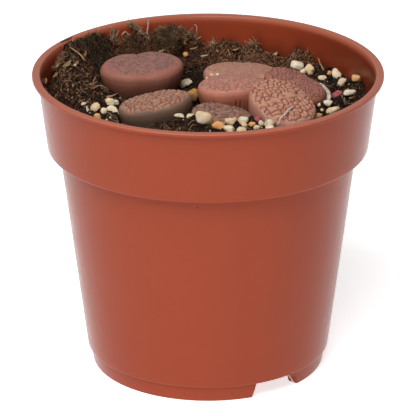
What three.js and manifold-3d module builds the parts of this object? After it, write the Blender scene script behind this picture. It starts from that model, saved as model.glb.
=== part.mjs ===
// Potted living stones: seven Lithops bodies with brain-like faces, grown in a round
// nursery pot of peaty mix with loose grit on top.
// Millimetres, +Z up, -Y is the front, origin under the middle of the pot's foot.

import * as THREE from "three";
import { mergeVertices } from "three/addons/utils/BufferGeometryUtils.js";
import Module from "manifold-3d";

const wasm = await Module();
wasm.setup();

// Driving dimensions

const contactGap = 0.35;
const stoneBedGap = 0.5;
const rootBedGap = 0.65;
const sides = 60;
const seeds = { crumbs: 7, fineCrumbs: 8, sheath: 61, faces: 100, grains: 300, chip: 411, moss: 502 };

const pot = {
  height: 92,
  rimRadius: 52.5,
  lipHeight: 1.1,
  lipWidth: 2.3,
  lipRounding: 0.2,
  lipSlope: 0.4,
  wall: 1.2,
  bandTopRadius: 50.8,
  bandFootRadius: 48.1,
  bandFootHeight: 69,
  bandRounding: 0.5,
  bodyTopRadius: 44.7,
  bodyFootRadius: 36.65,
  footRadius: 35.9,
  footTaper: 0.8,
  footWidth: 4.2,
  footHeight: 4.9,
  floorThickness: 1.2,
  floorRounding: 0.4,
};

// Two gaps in the foot, each with sloped ends, as degrees to the right of the front.
const footGap = { lowStart: 21.5, lowEnd: 50.5, highStart: 24, highEnd: 47.5, bulge: 1.03, repeats: 2 };
const drainHoles = { count: 6, circleRadius: 23, radius: 3, sides: 12 };
const gapHole = { angle: 39.5, circleRadius: 29.5, radius: 1.9 };

// The mix lies nearly level at the right and is heaped against the wall at the back left.
const mix = {
  level: 80.8,
  highest: 91.8,
  crumbHeight: 0.4,
  fineShare: 0.8,
  heapRoughness: 0.12,
  meshStep: 3.2,
  outerRadii: [35.5, 39, 42.2, 45],
  mounds: [
    { at: [-38, 30], height: 8.0, spread: 5.5 },
    { at: [-40.5, 27.5], height: 2.5, spread: 3.0 },
    { at: [-32.5, 36], height: 7.5, spread: 2.7 },
    { at: [-42.5, 24.5], height: 2.0, spread: 2.6 },
    { at: [-43, 23], height: 3.0, spread: 3.5 },
    { at: [-43, 15], height: 4.6, spread: 6.5 },
    { at: [-43, 0], height: 4.2, spread: 8 },
    { at: [-35, -12], height: 2.2, spread: 8 },
    { at: [-22.5, 41], height: 4.0, spread: 3.2 },
    { at: [-25.3, 40.8], height: 2.8, spread: 1.9 },
    { at: [-14.5, 43], height: 4.6, spread: 4.5 },
    { at: [3, 46], height: 2.8, spread: 3.6 },
    { at: [14, 45], height: 2.8, spread: 3.4 },
    { at: [29, 38], height: 2.6, spread: 3.4 },
    { at: [-5, 18], height: -1.2, spread: 5 },
    { at: [-7, -20.5], height: 3.6, spread: 5 },
    { at: [9, -26.5], height: 4.3, spread: 9 },
    { at: [35, -5], height: 2.0, spread: 3.5 },
    { at: [46, 13], height: 2.4, spread: 6 },
  ],
};

// Each body: middle and height of its face, lean of its axis to the right and to the back,
// turn of its long axis, half length and half width where it is widest, rise of its middle,
// depth of the dip between its leaves, and depth of the slit in it at the front and the back.
const plants = [
  {
    at: [-20.0, 15.8, 88.8], lean: [-0.7, -4.7], turn: 12,
    half: [12.7, 9.6], crown: 0.5, valley: 0.5, cleft: [0.5, 0.9],
  },
  {
    at: [-15.9, -10.9, 87.2], lean: [-7.6, -0.2], turn: 16,
    half: [11.15, 7.7], crown: 0.6, valley: 0.3, cleft: [0.4, 0.5],
  },
  {
    at: [6.8, 1.4, 88.3], lean: [-2.7, -3.0], turn: 9,
    half: [10.1, 7.25], crown: 0.7, valley: 0.3, cleft: [0.4, 0.5],
  },
  {
    at: [10.0, 18.4, 86.0], lean: [0.8, 3.0], turn: -5,
    half: [11.4, 8.8], crown: 0.5, valley: 0.4, cleft: [0.4, 0.7],
  },
  {
    at: [22.4, -14.6, 88.7], lean: [11.3, -14.6], turn: -56,
    half: [11.25, 9.45], crown: 0.8, valley: 0.3, cleft: [0.4, 0.4],
  },
  {
    at: [26.5, 4.5, 87.3], lean: [13.7, -5.2], turn: -39,
    half: [10.2, 7.9], crown: 0.6, valley: 0.3, cleft: [0.4, 0.6],
  },
  {
    at: [4.3, -16.5, 85.3], lean: [3.0, -4.8], turn: -22,
    half: [9.5, 6.7], crown: 0.5, valley: 0.3, cleft: [0.4, 0.5],
  },
];

const plantForm = {
  faceRings: 7,
  ringSpread: 0.9,
  faceShare: 0.9,
  sectorsPerLobe: 17,
  valleyHalfWidth: 2.6,
  cleftHalfWidth: 0.85,
  cleftHalfAngle: 5,
  pinch: 0.05,
  pinchAngle: 16,
  furrowDepth: 0.5,
  furrowSpacing: 4.4,
  furrowShare: 0.45,
  roomAbove: 14,
};

// Depth below the face's edge and share of the widest size, from the shoulder to the root.
const plantSide = [
  [0.6, 0.965],
  [2.2, 1],
  [6.0, 0.94],
  [12.5, 0.78],
  [18.5, 0.48],
  [23.5, 0.2],
];

const rootTipLength = 2.5;

const grainColours = { cream: 0xd9c7a0, white: 0xe6e0d2, amber: 0xc08a45, red: 0x8f3a35 };

// Loose stones that lie on the mix: place, length, width and height of each.
const grains = [
  { colour: "cream", at: [-29.3, -4.5], size: [3.1, 2.4, 2.3] },
  { colour: "cream", at: [-33.3, -12.4], size: [2.6, 2.1, 2.9] },
  { colour: "cream", at: [-28.4, -7.9], size: [3.1, 2.4, 2.8] },
  { colour: "cream", at: [-30.7, -13.2], size: [2.1, 1.7, 2.2] },
  { colour: "cream", at: [-36.9, -9.5], size: [1.5, 1.2, 1.2] },
  { colour: "white", at: [-27.5, -0.2], size: [1.8, 1.4, 1.5] },
  { colour: "amber", at: [-32.6, -15.8], size: [2.1, 1.7, 2.1] },
  { colour: "white", at: [-6.6, 21.8], size: [3.8, 3.1, 2.6] },
  { colour: "amber", at: [-6.9, 41.5], size: [1.6, 1.3, 1.7] },
  { colour: "white", at: [-8.4, -18.6], size: [3.1, 2.3, 1.7] },
  { colour: "cream", at: [-5.1, -19.5], size: [2.4, 1.9, 1.4] },
  { colour: "cream", at: [-0.9, -24.2], size: [5.2, 3.5, 4.6] },
  { colour: "amber", at: [3.3, -27.2], size: [3.8, 3.0, 2.9] },
  { colour: "cream", at: [6.6, -29.4], size: [3.3, 2.3, 2.4] },
  { colour: "cream", at: [6.2, -32.7], size: [3.4, 2.7, 2.6] },
  { colour: "cream", at: [9.8, -31.4], size: [3.3, 2.6, 2.6] },
  { colour: "white", at: [10.3, -24.2], size: [3.0, 2.0, 2.9] },
  { colour: "cream", at: [10.3, -28.0], size: [2.5, 1.9, 2.0] },
  { colour: "red", at: [14.6, -22.2], size: [2.6, 2.0, 2.3] },
  { colour: "amber", at: [12.9, -24.9], size: [2.0, 1.6, 1.5] },
  { colour: "white", at: [17.9, -24.7], size: [2.9, 2.2, 2.8] },
  { colour: "cream", at: [15.6, -25.2], size: [1.6, 1.3, 1.9] },
  { colour: "cream", at: [14.3, -27.6], size: [2.0, 1.6, 2.0] },
  { colour: "cream", at: [18.2, -27.4], size: [2.8, 2.2, 2.0] },
  { colour: "amber", at: [32.5, -11.0], size: [2.8, 2.3, 2.1] },
  { colour: "cream", at: [37.2, -8.8], size: [4.1, 2.5, 2.6] },
  { colour: "white", at: [27.3, 31.0], size: [3.9, 3.1, 3.1] },
  { colour: "cream", at: [31.2, 30.4], size: [3.2, 2.4, 3.5] },
  { colour: "amber", at: [37.1, 24.5], size: [1.4, 1.2, 1.5] },
  { colour: "cream", at: [39.3, 24.6], size: [2.6, 2.1, 3.4] },
  { colour: "cream", at: [40.7, 15.9], size: [2.7, 2.1, 2.6] },
  { colour: "amber", at: [44.9, 13.6], size: [2.9, 2.3, 2.5] },
  { colour: "white", at: [42.6, 4.9], size: [3.8, 1.9, 1.9] },
  { colour: "red", at: [39.0, 8.7], size: [3.0, 2.3, 2.0] },
  { colour: "cream", at: [34.9, 23.2], size: [2.6, 2.1, 1.7] },
  { colour: "cream", at: [29.0, 28.0], size: [2.7, 2.0, 1.8] },
  { colour: "white", at: [35.8, -5.5], size: [2.9, 2.1, 1.8] },
];
const grainForm = { bed: 0.3, roughness: 0.22 };

const barkChip = {
  at: [-4.3, 3.0],
  size: [4.4, 3.0, 5.2],
  bed: 0.1,
  lean: 14,
  roughness: 0.15,
  colour: 0x8a5a2c,
};
const mossTuft = { at: [-13.1, 41.6], size: [10.2, 8.4, 11.8], bed: 0.35, roughness: 0.2, colour: 0x37341f };

// The withered skin of last year's leaves, half round the right-hand side of one body.
const drySheath = {
  plant: 5,
  start: 8,
  end: 96,
  steps: 16,
  distance: 0.7,
  thickness: 0.7,
  flare: 0.12,
  lowest: -7.6,
  endHeight: 2.4,
  highest: -0.4,
  tatter: 1.1,
  colour: 0xcfc4ad,
};

// Small helpers

const radians = THREE.MathUtils.degToRad;
const fullTurn = 2 * Math.PI;

function seededRandom(seed) {
  let state = seed;
  return () => {
    state = (state * 16807) % 2147483647;
    return state / 2147483647;
  };
}

// Plane waves of one length in many directions: their sum is a maze of ridges and furrows.
function mazeWaves(seed, spacing, count) {
  const random = seededRandom(seed);
  const waves = Array.from({ length: count }, (_, i) => {
    const angle = (Math.PI * (i + 0.6 * random())) / count;
    const rate = (fullTurn / spacing) * (0.88 + 0.24 * random());
    return { kx: rate * Math.cos(angle), ky: rate * Math.sin(angle), phase: fullTurn * random() };
  });
  const scale = Math.sqrt(2 / count);
  return (x, y) =>
    scale * waves.reduce((sum, w) => sum + Math.cos(w.kx * x + w.ky * y + w.phase), 0);
}

// A closed skin over rings of points, lowest first, each ring anticlockwise from above;
// neighbouring rings may differ in their number of points. A point closes each end.
function skin(bottomPoint, rings, topPoint) {
  const positions = [];
  const index = [];
  const starts = rings.map((ring) => {
    const start = positions.length / 3;
    for (const point of ring) positions.push(...point);
    return start;
  });
  const bottom = positions.length / 3;
  positions.push(...bottomPoint, ...topPoint);
  const top = bottom + 1;
  const fan = (start, count, apex, flip) => {
    for (let i = 0; i < count; i++) {
      const a = start + i;
      const b = start + ((i + 1) % count);
      index.push(...(flip ? [b, a, apex] : [a, b, apex]));
    }
  };
  fan(starts[0], rings[0].length, bottom, true);
  for (let r = 0; r + 1 < rings.length; r++) {
    const n = rings[r].length;
    const m = rings[r + 1].length;
    let i = 0;
    let j = 0;
    while (i < n || j < m) {
      const a = starts[r] + (i % n);
      const b = starts[r + 1] + (j % m);
      if (i < n && (i + 1) * m <= (j + 1) * n) {
        index.push(a, starts[r] + ((i + 1) % n), b);
        i += 1;
      } else {
        index.push(a, starts[r + 1] + ((j + 1) % m), b);
        j += 1;
      }
    }
  }
  fan(starts.at(-1), rings.at(-1).length, top, false);
  const geometry = new THREE.BufferGeometry();
  geometry.setAttribute("position", new THREE.Float32BufferAttribute(positions, 3));
  geometry.setIndex(index);
  return geometry;
}

function circle(radius, z, count = sides) {
  return Array.from({ length: count }, (_, i) => {
    const angle = (fullTurn * i) / count;
    return [radius * Math.cos(angle), radius * Math.sin(angle), z];
  });
}

// A profile of [radius, height] points turned about the vertical axis.
function turned(profile) {
  const points = profile.map(([radius, height]) => new THREE.Vector2(radius, height));
  return new THREE.LatheGeometry(points, sides).rotateX(Math.PI / 2);
}

function toSolid(geometry) {
  const bare = geometry.clone();
  bare.deleteAttribute("normal");
  bare.deleteAttribute("uv");
  const merged = mergeVertices(bare, 1e-4);
  return new wasm.Manifold(
    new wasm.Mesh({
      numProp: 3,
      vertProperties: new Float32Array(merged.attributes.position.array),
      triVerts: new Uint32Array(merged.index.array),
    }),
  );
}

function toGeometry(solid) {
  const mesh = solid.getMesh();
  const geometry = new THREE.BufferGeometry();
  geometry.setAttribute("position", new THREE.BufferAttribute(mesh.vertProperties, 3));
  geometry.setIndex(new THREE.BufferAttribute(mesh.triVerts, 1));
  return geometry;
}

function piece(name, geometry, material) {
  const mesh = new THREE.Mesh(geometry, new THREE.MeshStandardMaterial(material));
  mesh.name = name;
  return mesh;
}

// The point at a radius and at degrees to the right of the front.
function frontPoint(degrees, radius, z) {
  const angle = radians(degrees);
  return [radius * Math.sin(angle), -radius * Math.cos(angle), z];
}

// Pot

const floorTop = pot.footHeight + pot.floorThickness;
const lipFoot = pot.height - pot.lipHeight;
const ledgeTop = pot.bandFootHeight + pot.wall;

function bandInnerRadius(z) {
  const share = (z - pot.bandFootHeight) / (lipFoot - pot.bandFootHeight);
  return THREE.MathUtils.lerp(pot.bandFootRadius, pot.bandTopRadius, share) - pot.wall;
}

function bodyInnerRadius(z) {
  const share = (z - pot.footHeight) / (pot.bandFootHeight - pot.footHeight);
  return THREE.MathUtils.lerp(pot.bodyFootRadius, pot.bodyTopRadius, share) - pot.wall;
}

function potShell() {
  const { rimRadius, lipRounding, lipSlope, height, bandRounding, floorRounding } = pot;
  const lipInner = rimRadius - pot.lipWidth;
  return turned([
    [0, pot.footHeight],
    [pot.bodyFootRadius - floorRounding, pot.footHeight],
    [pot.bodyFootRadius, pot.footHeight + floorRounding],
    [pot.bodyTopRadius, pot.bandFootHeight],
    [pot.bandFootRadius - bandRounding, pot.bandFootHeight],
    [pot.bandFootRadius, pot.bandFootHeight + bandRounding],
    [pot.bandTopRadius, lipFoot],
    [rimRadius - lipRounding, lipFoot],
    [rimRadius, lipFoot + lipRounding],
    [rimRadius, height - lipRounding],
    [rimRadius - lipRounding, height],
    [lipInner + lipRounding, height],
    [lipInner, height - lipRounding],
    [bandInnerRadius(lipFoot - lipSlope), lipFoot - lipSlope],
    [bandInnerRadius(ledgeTop), ledgeTop],
    [bodyInnerRadius(ledgeTop), ledgeTop],
    [bodyInnerRadius(floorTop), floorTop],
    [0, floorTop],
  ]);
}

// The foot is a folded channel that hangs below the floor, open to the inside of the pot.
function footRing(inset, low, high) {
  const outerTop = pot.footRadius - inset;
  const outerLow = outerTop - pot.footTaper;
  const innerTop = pot.footRadius - pot.footWidth - pot.footTaper / 2 + inset;
  const innerLow = innerTop + pot.footTaper / 2;
  return toSolid(
    turned([
      [innerLow, low],
      [outerLow, low],
      [outerTop, high],
      [innerTop, high],
      [innerLow, low],
    ]),
  );
}

function footGapSolid(turn, spare) {
  const low = -1;
  const high = pot.footHeight + spare;
  const inner = pot.footRadius - 2 * pot.footWidth;
  const outer = pot.footRadius + pot.footWidth;
  const widen = spare ? THREE.MathUtils.radToDeg(spare / pot.footRadius) : 0;
  const corner = (degrees, radius, z) => frontPoint(turn + degrees, radius, z);
  const ring = (start, end, z) => [
    corner(start - widen, inner, z),
    corner(start - widen, outer, z),
    corner((start + end) / 2, outer * footGap.bulge, z),
    corner(end + widen, outer, z),
    corner(end + widen, inner, z),
  ];
  const lowRing = ring(footGap.lowStart, footGap.lowEnd, low);
  const highRing = ring(footGap.highStart, footGap.highEnd, high);
  const middle = (footGap.highStart + footGap.highEnd) / 2;
  const between = (inner + outer) / 2;
  return toSolid(skin(corner(middle, between, low), [lowRing, highRing], corner(middle, between, high)));
}

function withoutGaps(solid, spare) {
  for (let i = 0; i < footGap.repeats; i++) {
    solid = solid.subtract(footGapSolid((360 / footGap.repeats) * i, spare));
  }
  return solid;
}

function drainHole(degrees, circleRadius, radius) {
  const [x, y, z] = frontPoint(degrees, circleRadius, pot.footHeight + pot.floorThickness / 2);
  const hole = new THREE.CylinderGeometry(radius, radius, 3 * pot.floorThickness, drainHoles.sides);
  return toSolid(hole.rotateX(Math.PI / 2).translate(x, y, z));
}

function potSolid() {
  const overlap = pot.floorThickness / 2;
  const foot = withoutGaps(footRing(0, 0, pot.footHeight + overlap), 0);
  const channel = withoutGaps(footRing(pot.wall, pot.wall, floorTop + overlap), pot.wall);
  let solid = toSolid(potShell()).add(foot).subtract(channel);
  for (let i = 0; i < drainHoles.count; i++) {
    const degrees = (360 / drainHoles.count) * i;
    solid = solid.subtract(drainHole(degrees, drainHoles.circleRadius, drainHoles.radius));
  }
  for (let i = 0; i < footGap.repeats; i++) {
    const degrees = gapHole.angle + (360 / footGap.repeats) * i;
    solid = solid.subtract(drainHole(degrees, gapHole.circleRadius, gapHole.radius));
  }
  return solid;
}

// Plants

// The turn and place of a body: its face lies across its leaning axis.
function plantPlace(plant) {
  const [leanRight, leanBack] = plant.lean.map((angle) => Math.tan(radians(angle)));
  const axis = new THREE.Vector3(leanRight, leanBack, 1).normalize();
  const turn = radians(plant.turn);
  const along = new THREE.Vector3(Math.cos(turn), Math.sin(turn), 0);
  along.addScaledVector(axis, -along.dot(axis)).normalize();
  const across = new THREE.Vector3().crossVectors(axis, along);
  return new THREE.Matrix4().makeBasis(along, across, axis).setPosition(...plant.at);
}

// Angles round a face, closer together at the two ends of the cleft between its leaves.
function faceAngles() {
  const { sectorsPerLobe, cleftHalfAngle } = plantForm;
  const angles = [];
  for (const cleft of [-90, 90]) {
    for (let i = 0; i < sectorsPerLobe; i++) {
      const share = i / (sectorsPerLobe - 1);
      const offset = THREE.MathUtils.lerp(cleftHalfAngle, 180 - cleftHalfAngle, share);
      if (i === 0) angles.push(radians(cleft));
      angles.push(radians(cleft + offset));
    }
  }
  return angles;
}

// An oval with a slight waist where the cleft meets the edge.
function outline(plant, angle, share, grow) {
  const fromCleft = Math.acos(Math.min(1, Math.abs(Math.sin(angle))));
  const waist = 1 - plantForm.pinch * Math.exp(-((fromCleft / radians(plantForm.pinchAngle)) ** 2));
  return plant.half.map(
    (half, i) => (half * share * waist + grow) * (i ? Math.sin(angle) : Math.cos(angle)),
  );
}

// A low dome with a dip and a slit across it, and winding furrows that fade towards the shoulder.
function faceHeight(plant, maze, x, y, toEdge) {
  const { valleyHalfWidth, cleftHalfWidth, furrowDepth, furrowShare } = plantForm;
  const dome = plant.crown * (1 - toEdge * toEdge);
  const toBack = THREE.MathUtils.smoothstep(y / plant.half[1], -0.4, 1);
  const cleftDepth = THREE.MathUtils.lerp(plant.cleft[0], plant.cleft[1], toBack);
  const cleft = cleftDepth * Math.exp(-((x / cleftHalfWidth) ** 2));
  const valley = plant.valley * Math.exp(-((x / valleyHalfWidth) ** 2));
  const fade = 1 - toEdge ** 6;
  const furrow = furrowDepth * Math.exp(-((maze(x, y) / furrowShare) ** 2)) * fade;
  return dome - Math.max(cleft, valley) - furrow;
}

function plantBody(plant, number) {
  const maze = mazeWaves(seeds.faces + number, plantForm.furrowSpacing, 7);
  const angles = faceAngles();
  const sideRings = plantSide
    .map(([depth, share]) => angles.map((angle) => [...outline(plant, angle, share, 0), -depth]))
    .reverse();
  const faceRings = [];
  for (let i = plantForm.faceRings; i > 0; i--) {
    const toEdge = Math.sin((Math.PI / 2) * (i / plantForm.faceRings) ** plantForm.ringSpread);
    faceRings.push(
      angles.map((angle) => {
        const [x, y] = outline(plant, angle, plantForm.faceShare * toEdge, 0);
        return [x, y, faceHeight(plant, maze, x, y, toEdge)];
      }),
    );
  }
  const rootTip = [0, 0, -plantSide.at(-1)[0] - rootTipLength];
  return skin(rootTip, [...sideRings, ...faceRings], [0, 0, faceHeight(plant, maze, 0, 0, 0)]);
}

// The room that a body takes in the mix, a little larger all round and open upwards.
function plantRoom(plant) {
  const angles = faceAngles().filter((_, i) => i % 2 === 0);
  const ring = (share, z) =>
    angles.map((angle) => [...outline(plant, angle, share, rootBedGap), z]);
  const above = plantForm.roomAbove;
  const rings = plantSide.slice(1).map(([depth, share]) => ring(share, -depth));
  rings.reverse().push(ring(1, above));
  const rootTip = [0, 0, -plantSide.at(-1)[0] - rootTipLength - rootBedGap];
  return toSolid(skin(rootTip, rings, [0, 0, above]).applyMatrix4(plantPlace(plant)));
}

function plantPiece(plant, number) {
  const colours = [0x96635a, 0x9a7460, 0xb27868, 0x94675a, 0xb5826f, 0x9c5f55, 0x8a5f52];
  const material = { color: colours[number], roughness: 0.62, metalness: 0 };
  const mesh = piece(`lithops_${number + 1}`, plantBody(plant, number), material);
  mesh.position.set(...plant.at);
  mesh.quaternion.setFromRotationMatrix(plantPlace(plant));
  return mesh;
}

// Withered sheath

// A thin upright strip beside a body's shoulder, its top edge torn.
function sheathGeometry(spare) {
  const plant = plants[drySheath.plant];
  const random = seededRandom(seeds.sheath);
  const widen = THREE.MathUtils.radToDeg(spare / plant.half[1]);
  const strip = [];
  for (let i = 0; i <= drySheath.steps; i++) {
    const share = i / drySheath.steps;
    const degrees = THREE.MathUtils.lerp(drySheath.start - widen, drySheath.end + widen, share);
    const angle = radians(degrees);
    const ends = Math.sin(Math.PI * share) ** 0.5;
    const tear = drySheath.tatter * random();
    const lowTop = drySheath.lowest + drySheath.endHeight;
    const top = THREE.MathUtils.lerp(lowTop, drySheath.highest, ends) - tear * ends;
    strip.push({ angle, top: top + spare });
  }
  const low = drySheath.lowest - spare;
  const side = (step, out, z) => {
    const flare = drySheath.flare * (z - drySheath.lowest);
    const [x, y] = outline(plant, step.angle, 1, drySheath.distance + out + flare);
    return [x, y, z];
  };
  const near = -spare;
  const far = drySheath.thickness + spare;
  const rings = strip.map((step) => [
    side(step, near, low),
    side(step, near, step.top),
    side(step, far, step.top),
    side(step, far, low),
  ]);
  const middleOf = (ring) => [0, 1, 2].map((i) => ring.reduce((sum, p) => sum + p[i], 0) / 4);
  return skin(middleOf(rings[0]), rings, middleOf(rings.at(-1))).applyMatrix4(plantPlace(plant));
}

// Mix

const crumbs = mazeWaves(seeds.crumbs, 11, 5);
const fineCrumbs = mazeWaves(seeds.fineCrumbs, 6.5, 6);

function mixHeight(x, y) {
  let heap = 0;
  for (const mound of mix.mounds) {
    const distance = Math.hypot(x - mound.at[0], y - mound.at[1]);
    heap += mound.height * Math.exp(-0.5 * (distance / mound.spread) ** 2);
  }
  const rough = crumbs(x, y) + mix.fineShare * fineCrumbs(x, y);
  const z = mix.level + heap + mix.crumbHeight * rough * (1 + mix.heapRoughness * heap);
  return Math.min(z, mix.highest);
}

function mixSurfaceRings() {
  const inner = [];
  for (let i = sides / 6; i > 0; i--) inner.push({ radius: i * mix.meshStep, count: 6 * i });
  const outer = mix.outerRadii.map((radius) => ({ radius, count: sides })).reverse();
  return [...outer, ...inner].map(({ radius, count }) =>
    circle(radius, 0, count).map(([x, y]) => [x, y, mixHeight(x, y)]),
  );
}

function mixEdge() {
  const reach = bandInnerRadius(mix.level);
  return circle(1, 0).map(([cos, sin]) => {
    const z = mixHeight(cos * reach, sin * reach);
    const radius = bandInnerRadius(z) - contactGap;
    return [radius * cos, radius * sin, z];
  });
}

function mixSolid(grainRooms) {
  const low = floorTop + contactGap;
  const ledge = ledgeTop + contactGap;
  const narrow = bodyInnerRadius(ledgeTop) - contactGap;
  const rings = [
    circle(bodyInnerRadius(low) - contactGap, low),
    circle(narrow, ledgeTop),
    circle(narrow, ledge),
    circle(bandInnerRadius(ledge) - contactGap, ledge),
    mixEdge(),
    ...mixSurfaceRings(),
  ];
  let solid = toSolid(skin([0, 0, low], rings, [0, 0, mixHeight(0, 0)]));
  const inset = pot.wall + contactGap;
  solid = solid.add(withoutGaps(footRing(inset, inset, low + 1), inset));
  for (const plant of plants) solid = solid.subtract(plantRoom(plant));
  for (const room of grainRooms) solid = solid.subtract(room);
  return solid;
}

// Grit, bark and moss

// A rough stone: an icosahedron with each corner pushed in or out a little.
function stone(seed, detail, roughness) {
  const random = seededRandom(seed);
  const geometry = new THREE.IcosahedronGeometry(1, detail);
  geometry.deleteAttribute("normal");
  geometry.deleteAttribute("uv");
  const merged = mergeVertices(geometry, 1e-4);
  const position = merged.attributes.position;
  for (let i = 0; i < position.count; i++) {
    const stretch = 1 - roughness * random();
    position.setXYZ(
      i,
      position.getX(i) * stretch,
      position.getY(i) * stretch,
      position.getZ(i) * stretch,
    );
  }
  return merged;
}

// Where the middle of a thing lies whose lowest share is bedded in the mix.
function restingPoint({ at: [x, y], size }, bed) {
  return [x, y, mixHeight(x, y) + size[2] * (0.5 - bed)];
}

function grainGeometry(grain, number, spare) {
  const half = grain.size.map((size) => size / 2 + spare);
  return stone(seeds.grains + number, 0, grainForm.roughness)
    .scale(...half)
    .translate(...restingPoint(grain, grainForm.bed));
}

function grainPieces() {
  const counts = {};
  return grains.map((grain, number) => {
    counts[grain.colour] = (counts[grain.colour] ?? 0) + 1;
    const name = `grit_${grain.colour}_${counts[grain.colour]}`;
    const material = { color: grainColours[grain.colour], roughness: 0.8, metalness: 0 };
    return piece(name, grainGeometry(grain, number, 0), material);
  });
}

function chipGeometry(spare) {
  const half = barkChip.size.map((size) => size / 2 + spare);
  return stone(seeds.chip, 0, barkChip.roughness)
    .scale(...half)
    .rotateY(radians(-barkChip.lean))
    .translate(...restingPoint(barkChip, barkChip.bed));
}

function mossGeometry(spare) {
  const half = mossTuft.size.map((size) => size / 2 + spare);
  return stone(seeds.moss, 1, mossTuft.roughness)
    .scale(...half)
    .translate(...restingPoint(mossTuft, mossTuft.bed));
}

// Assembly

const group = new THREE.Group();

const terracotta = { color: 0xa9532f, roughness: 0.38, metalness: 0 };
group.add(piece("pot", toGeometry(potSolid()), terracotta));

const rooms = [
  ...grains.map((grain, number) => toSolid(grainGeometry(grain, number, stoneBedGap))),
  toSolid(chipGeometry(stoneBedGap)),
  toSolid(mossGeometry(stoneBedGap)),
  toSolid(sheathGeometry(contactGap)),
];
const peat = { color: 0x2e2219, roughness: 0.95, metalness: 0 };
group.add(piece("potting_mix", toGeometry(mixSolid(rooms)), peat));

plants.forEach((plant, number) => group.add(plantPiece(plant, number)));
const paper = { color: drySheath.colour, roughness: 0.8, metalness: 0 };
group.add(piece("dry_sheath", sheathGeometry(0), paper));
group.add(...grainPieces());
const bark = { color: barkChip.colour, roughness: 0.85, metalness: 0 };
group.add(piece("bark_chip", chipGeometry(0), bark));
const moss = { color: mossTuft.colour, roughness: 0.95, metalness: 0 };
group.add(piece("moss_tuft", mossGeometry(0), moss));

export default group;
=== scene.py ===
import itertools
import math

import bpy
import numpy as np
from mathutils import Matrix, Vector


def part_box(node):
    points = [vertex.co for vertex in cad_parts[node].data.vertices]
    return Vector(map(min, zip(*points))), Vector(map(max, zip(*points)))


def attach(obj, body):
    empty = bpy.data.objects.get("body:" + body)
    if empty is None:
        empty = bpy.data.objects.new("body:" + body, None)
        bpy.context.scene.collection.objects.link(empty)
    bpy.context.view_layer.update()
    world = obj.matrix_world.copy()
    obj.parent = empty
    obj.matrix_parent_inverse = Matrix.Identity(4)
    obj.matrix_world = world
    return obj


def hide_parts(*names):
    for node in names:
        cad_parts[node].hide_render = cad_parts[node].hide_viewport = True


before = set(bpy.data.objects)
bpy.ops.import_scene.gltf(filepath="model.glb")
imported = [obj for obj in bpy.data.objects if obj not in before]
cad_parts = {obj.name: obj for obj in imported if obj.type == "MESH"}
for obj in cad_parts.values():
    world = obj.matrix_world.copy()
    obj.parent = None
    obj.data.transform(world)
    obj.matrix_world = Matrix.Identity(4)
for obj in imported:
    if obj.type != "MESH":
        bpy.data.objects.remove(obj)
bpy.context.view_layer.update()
scene = bpy.context.scene
print("frame loaded:", len(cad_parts), "nodes")

# Sizes below are in millimetres; -Y is the front.
mm = 0.001
fullTurn = 2 * math.pi


# Noise and curves

def seededValues(seed):
    # the same row of numbers from 0 to 1 for the same seed
    factor, modulus = 16807, 2**31 - 1
    state = seed
    while True:
        state = state * factor % modulus
        yield state / modulus


def mazeWaves(x, y, seed, spacing, count):
    # sum of plane waves in many directions, their directions and lengths a little uneven:
    # winding ridges and furrows
    values = seededValues(seed)
    total = np.zeros_like(x)
    for i in range(count):
        angle = math.pi * (i + 0.6 * next(values)) / count
        rate = fullTurn / spacing * (0.88 + 0.24 * next(values))
        phase = fullTurn * next(values)
        total += np.cos(rate * math.cos(angle) * x + rate * math.sin(angle) * y + phase)
    return math.sqrt(2 / count) * total


def latticeHash(spot, seed):
    # one scrambled number from 0 to 1 for each row of whole numbers: large factors mix their bits
    mixed = spot[..., 0] * 73856093 ^ spot[..., 1] * 19349663 ^ spot[..., 2] * 83492791 ^ seed * 26544357
    mixed = (mixed ^ (mixed >> 13)) * 1274126177 & 0x7FFFFFFF
    mixed = (mixed ^ (mixed >> 11)) * 2246822519 & 0x7FFFFFFF
    return (mixed >> 8) % 65536 / 65535


def softNoise(points, cell, seed):
    # random numbers on a cubic lattice of the given cell, blended smoothly, from -1 to 1
    place = points / cell
    base = np.floor(place).astype(np.int64)
    part = place - base
    part = part * part * (3 - 2 * part)
    total = np.zeros(points.shape[:-1])
    for corner in np.ndindex(2, 2, 2):
        weight = np.prod(np.where(corner, part, 1 - part), axis=-1)
        total += weight * (2 * latticeHash(base + np.array(corner), seed) - 1)
    return total


def layeredNoise(points, cell, seed):
    # three layers, each half the size and about half the strength of the one before
    return sum(softNoise(points, cell / 2**i, seed + i) * 0.55**i for i in range(3))


def fade(value, low, high):
    # 0 at low, 1 at high, smooth between
    share = np.clip((value - low) / (high - low), 0, 1)
    return share * share * (3 - 2 * share)


def smoothLine(corners, count):
    # a smooth line through the corners: each stretch is a cubic that leans on its neighbours
    corners = np.asarray(corners, float)
    padded = np.vstack([2 * corners[0] - corners[1], corners, 2 * corners[-1] - corners[-2]])
    place = np.linspace(0, len(corners) - 1, count)
    i = np.minimum(place.astype(int), len(corners) - 2)
    t = (place - i)[:, None]
    a, b, c, d = padded[i], padded[i + 1], padded[i + 2], padded[i + 3]
    return 0.5 * (2 * b + (c - a) * t + (2 * a - 5 * b + 4 * c - d) * t**2
                  + (3 * b - a - 3 * c + d) * t**3)


# Meshes

def gridFaces(rows, columns, wrap=True):
    # four-cornered faces between rows of points; wrap joins the ends of each row
    row = np.arange(rows - 1)[:, None]
    column = np.arange(columns if wrap else columns - 1)[None, :]
    after = (column + 1) % columns
    corners = [row * columns + column, row * columns + after,
               (row + 1) * columns + after, (row + 1) * columns + column]
    return np.stack(corners, -1).reshape(-1, 4)


def ringFaces(rows, columns):
    # a grid that closes on itself both ways
    return gridFaces(rows + 1, columns) % (rows * columns)


def fanFaces(ring, apex):
    # three-cornered faces from a ring of points to one point
    return np.stack([ring, np.roll(ring, -1), np.full(len(ring), apex)], -1)


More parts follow.
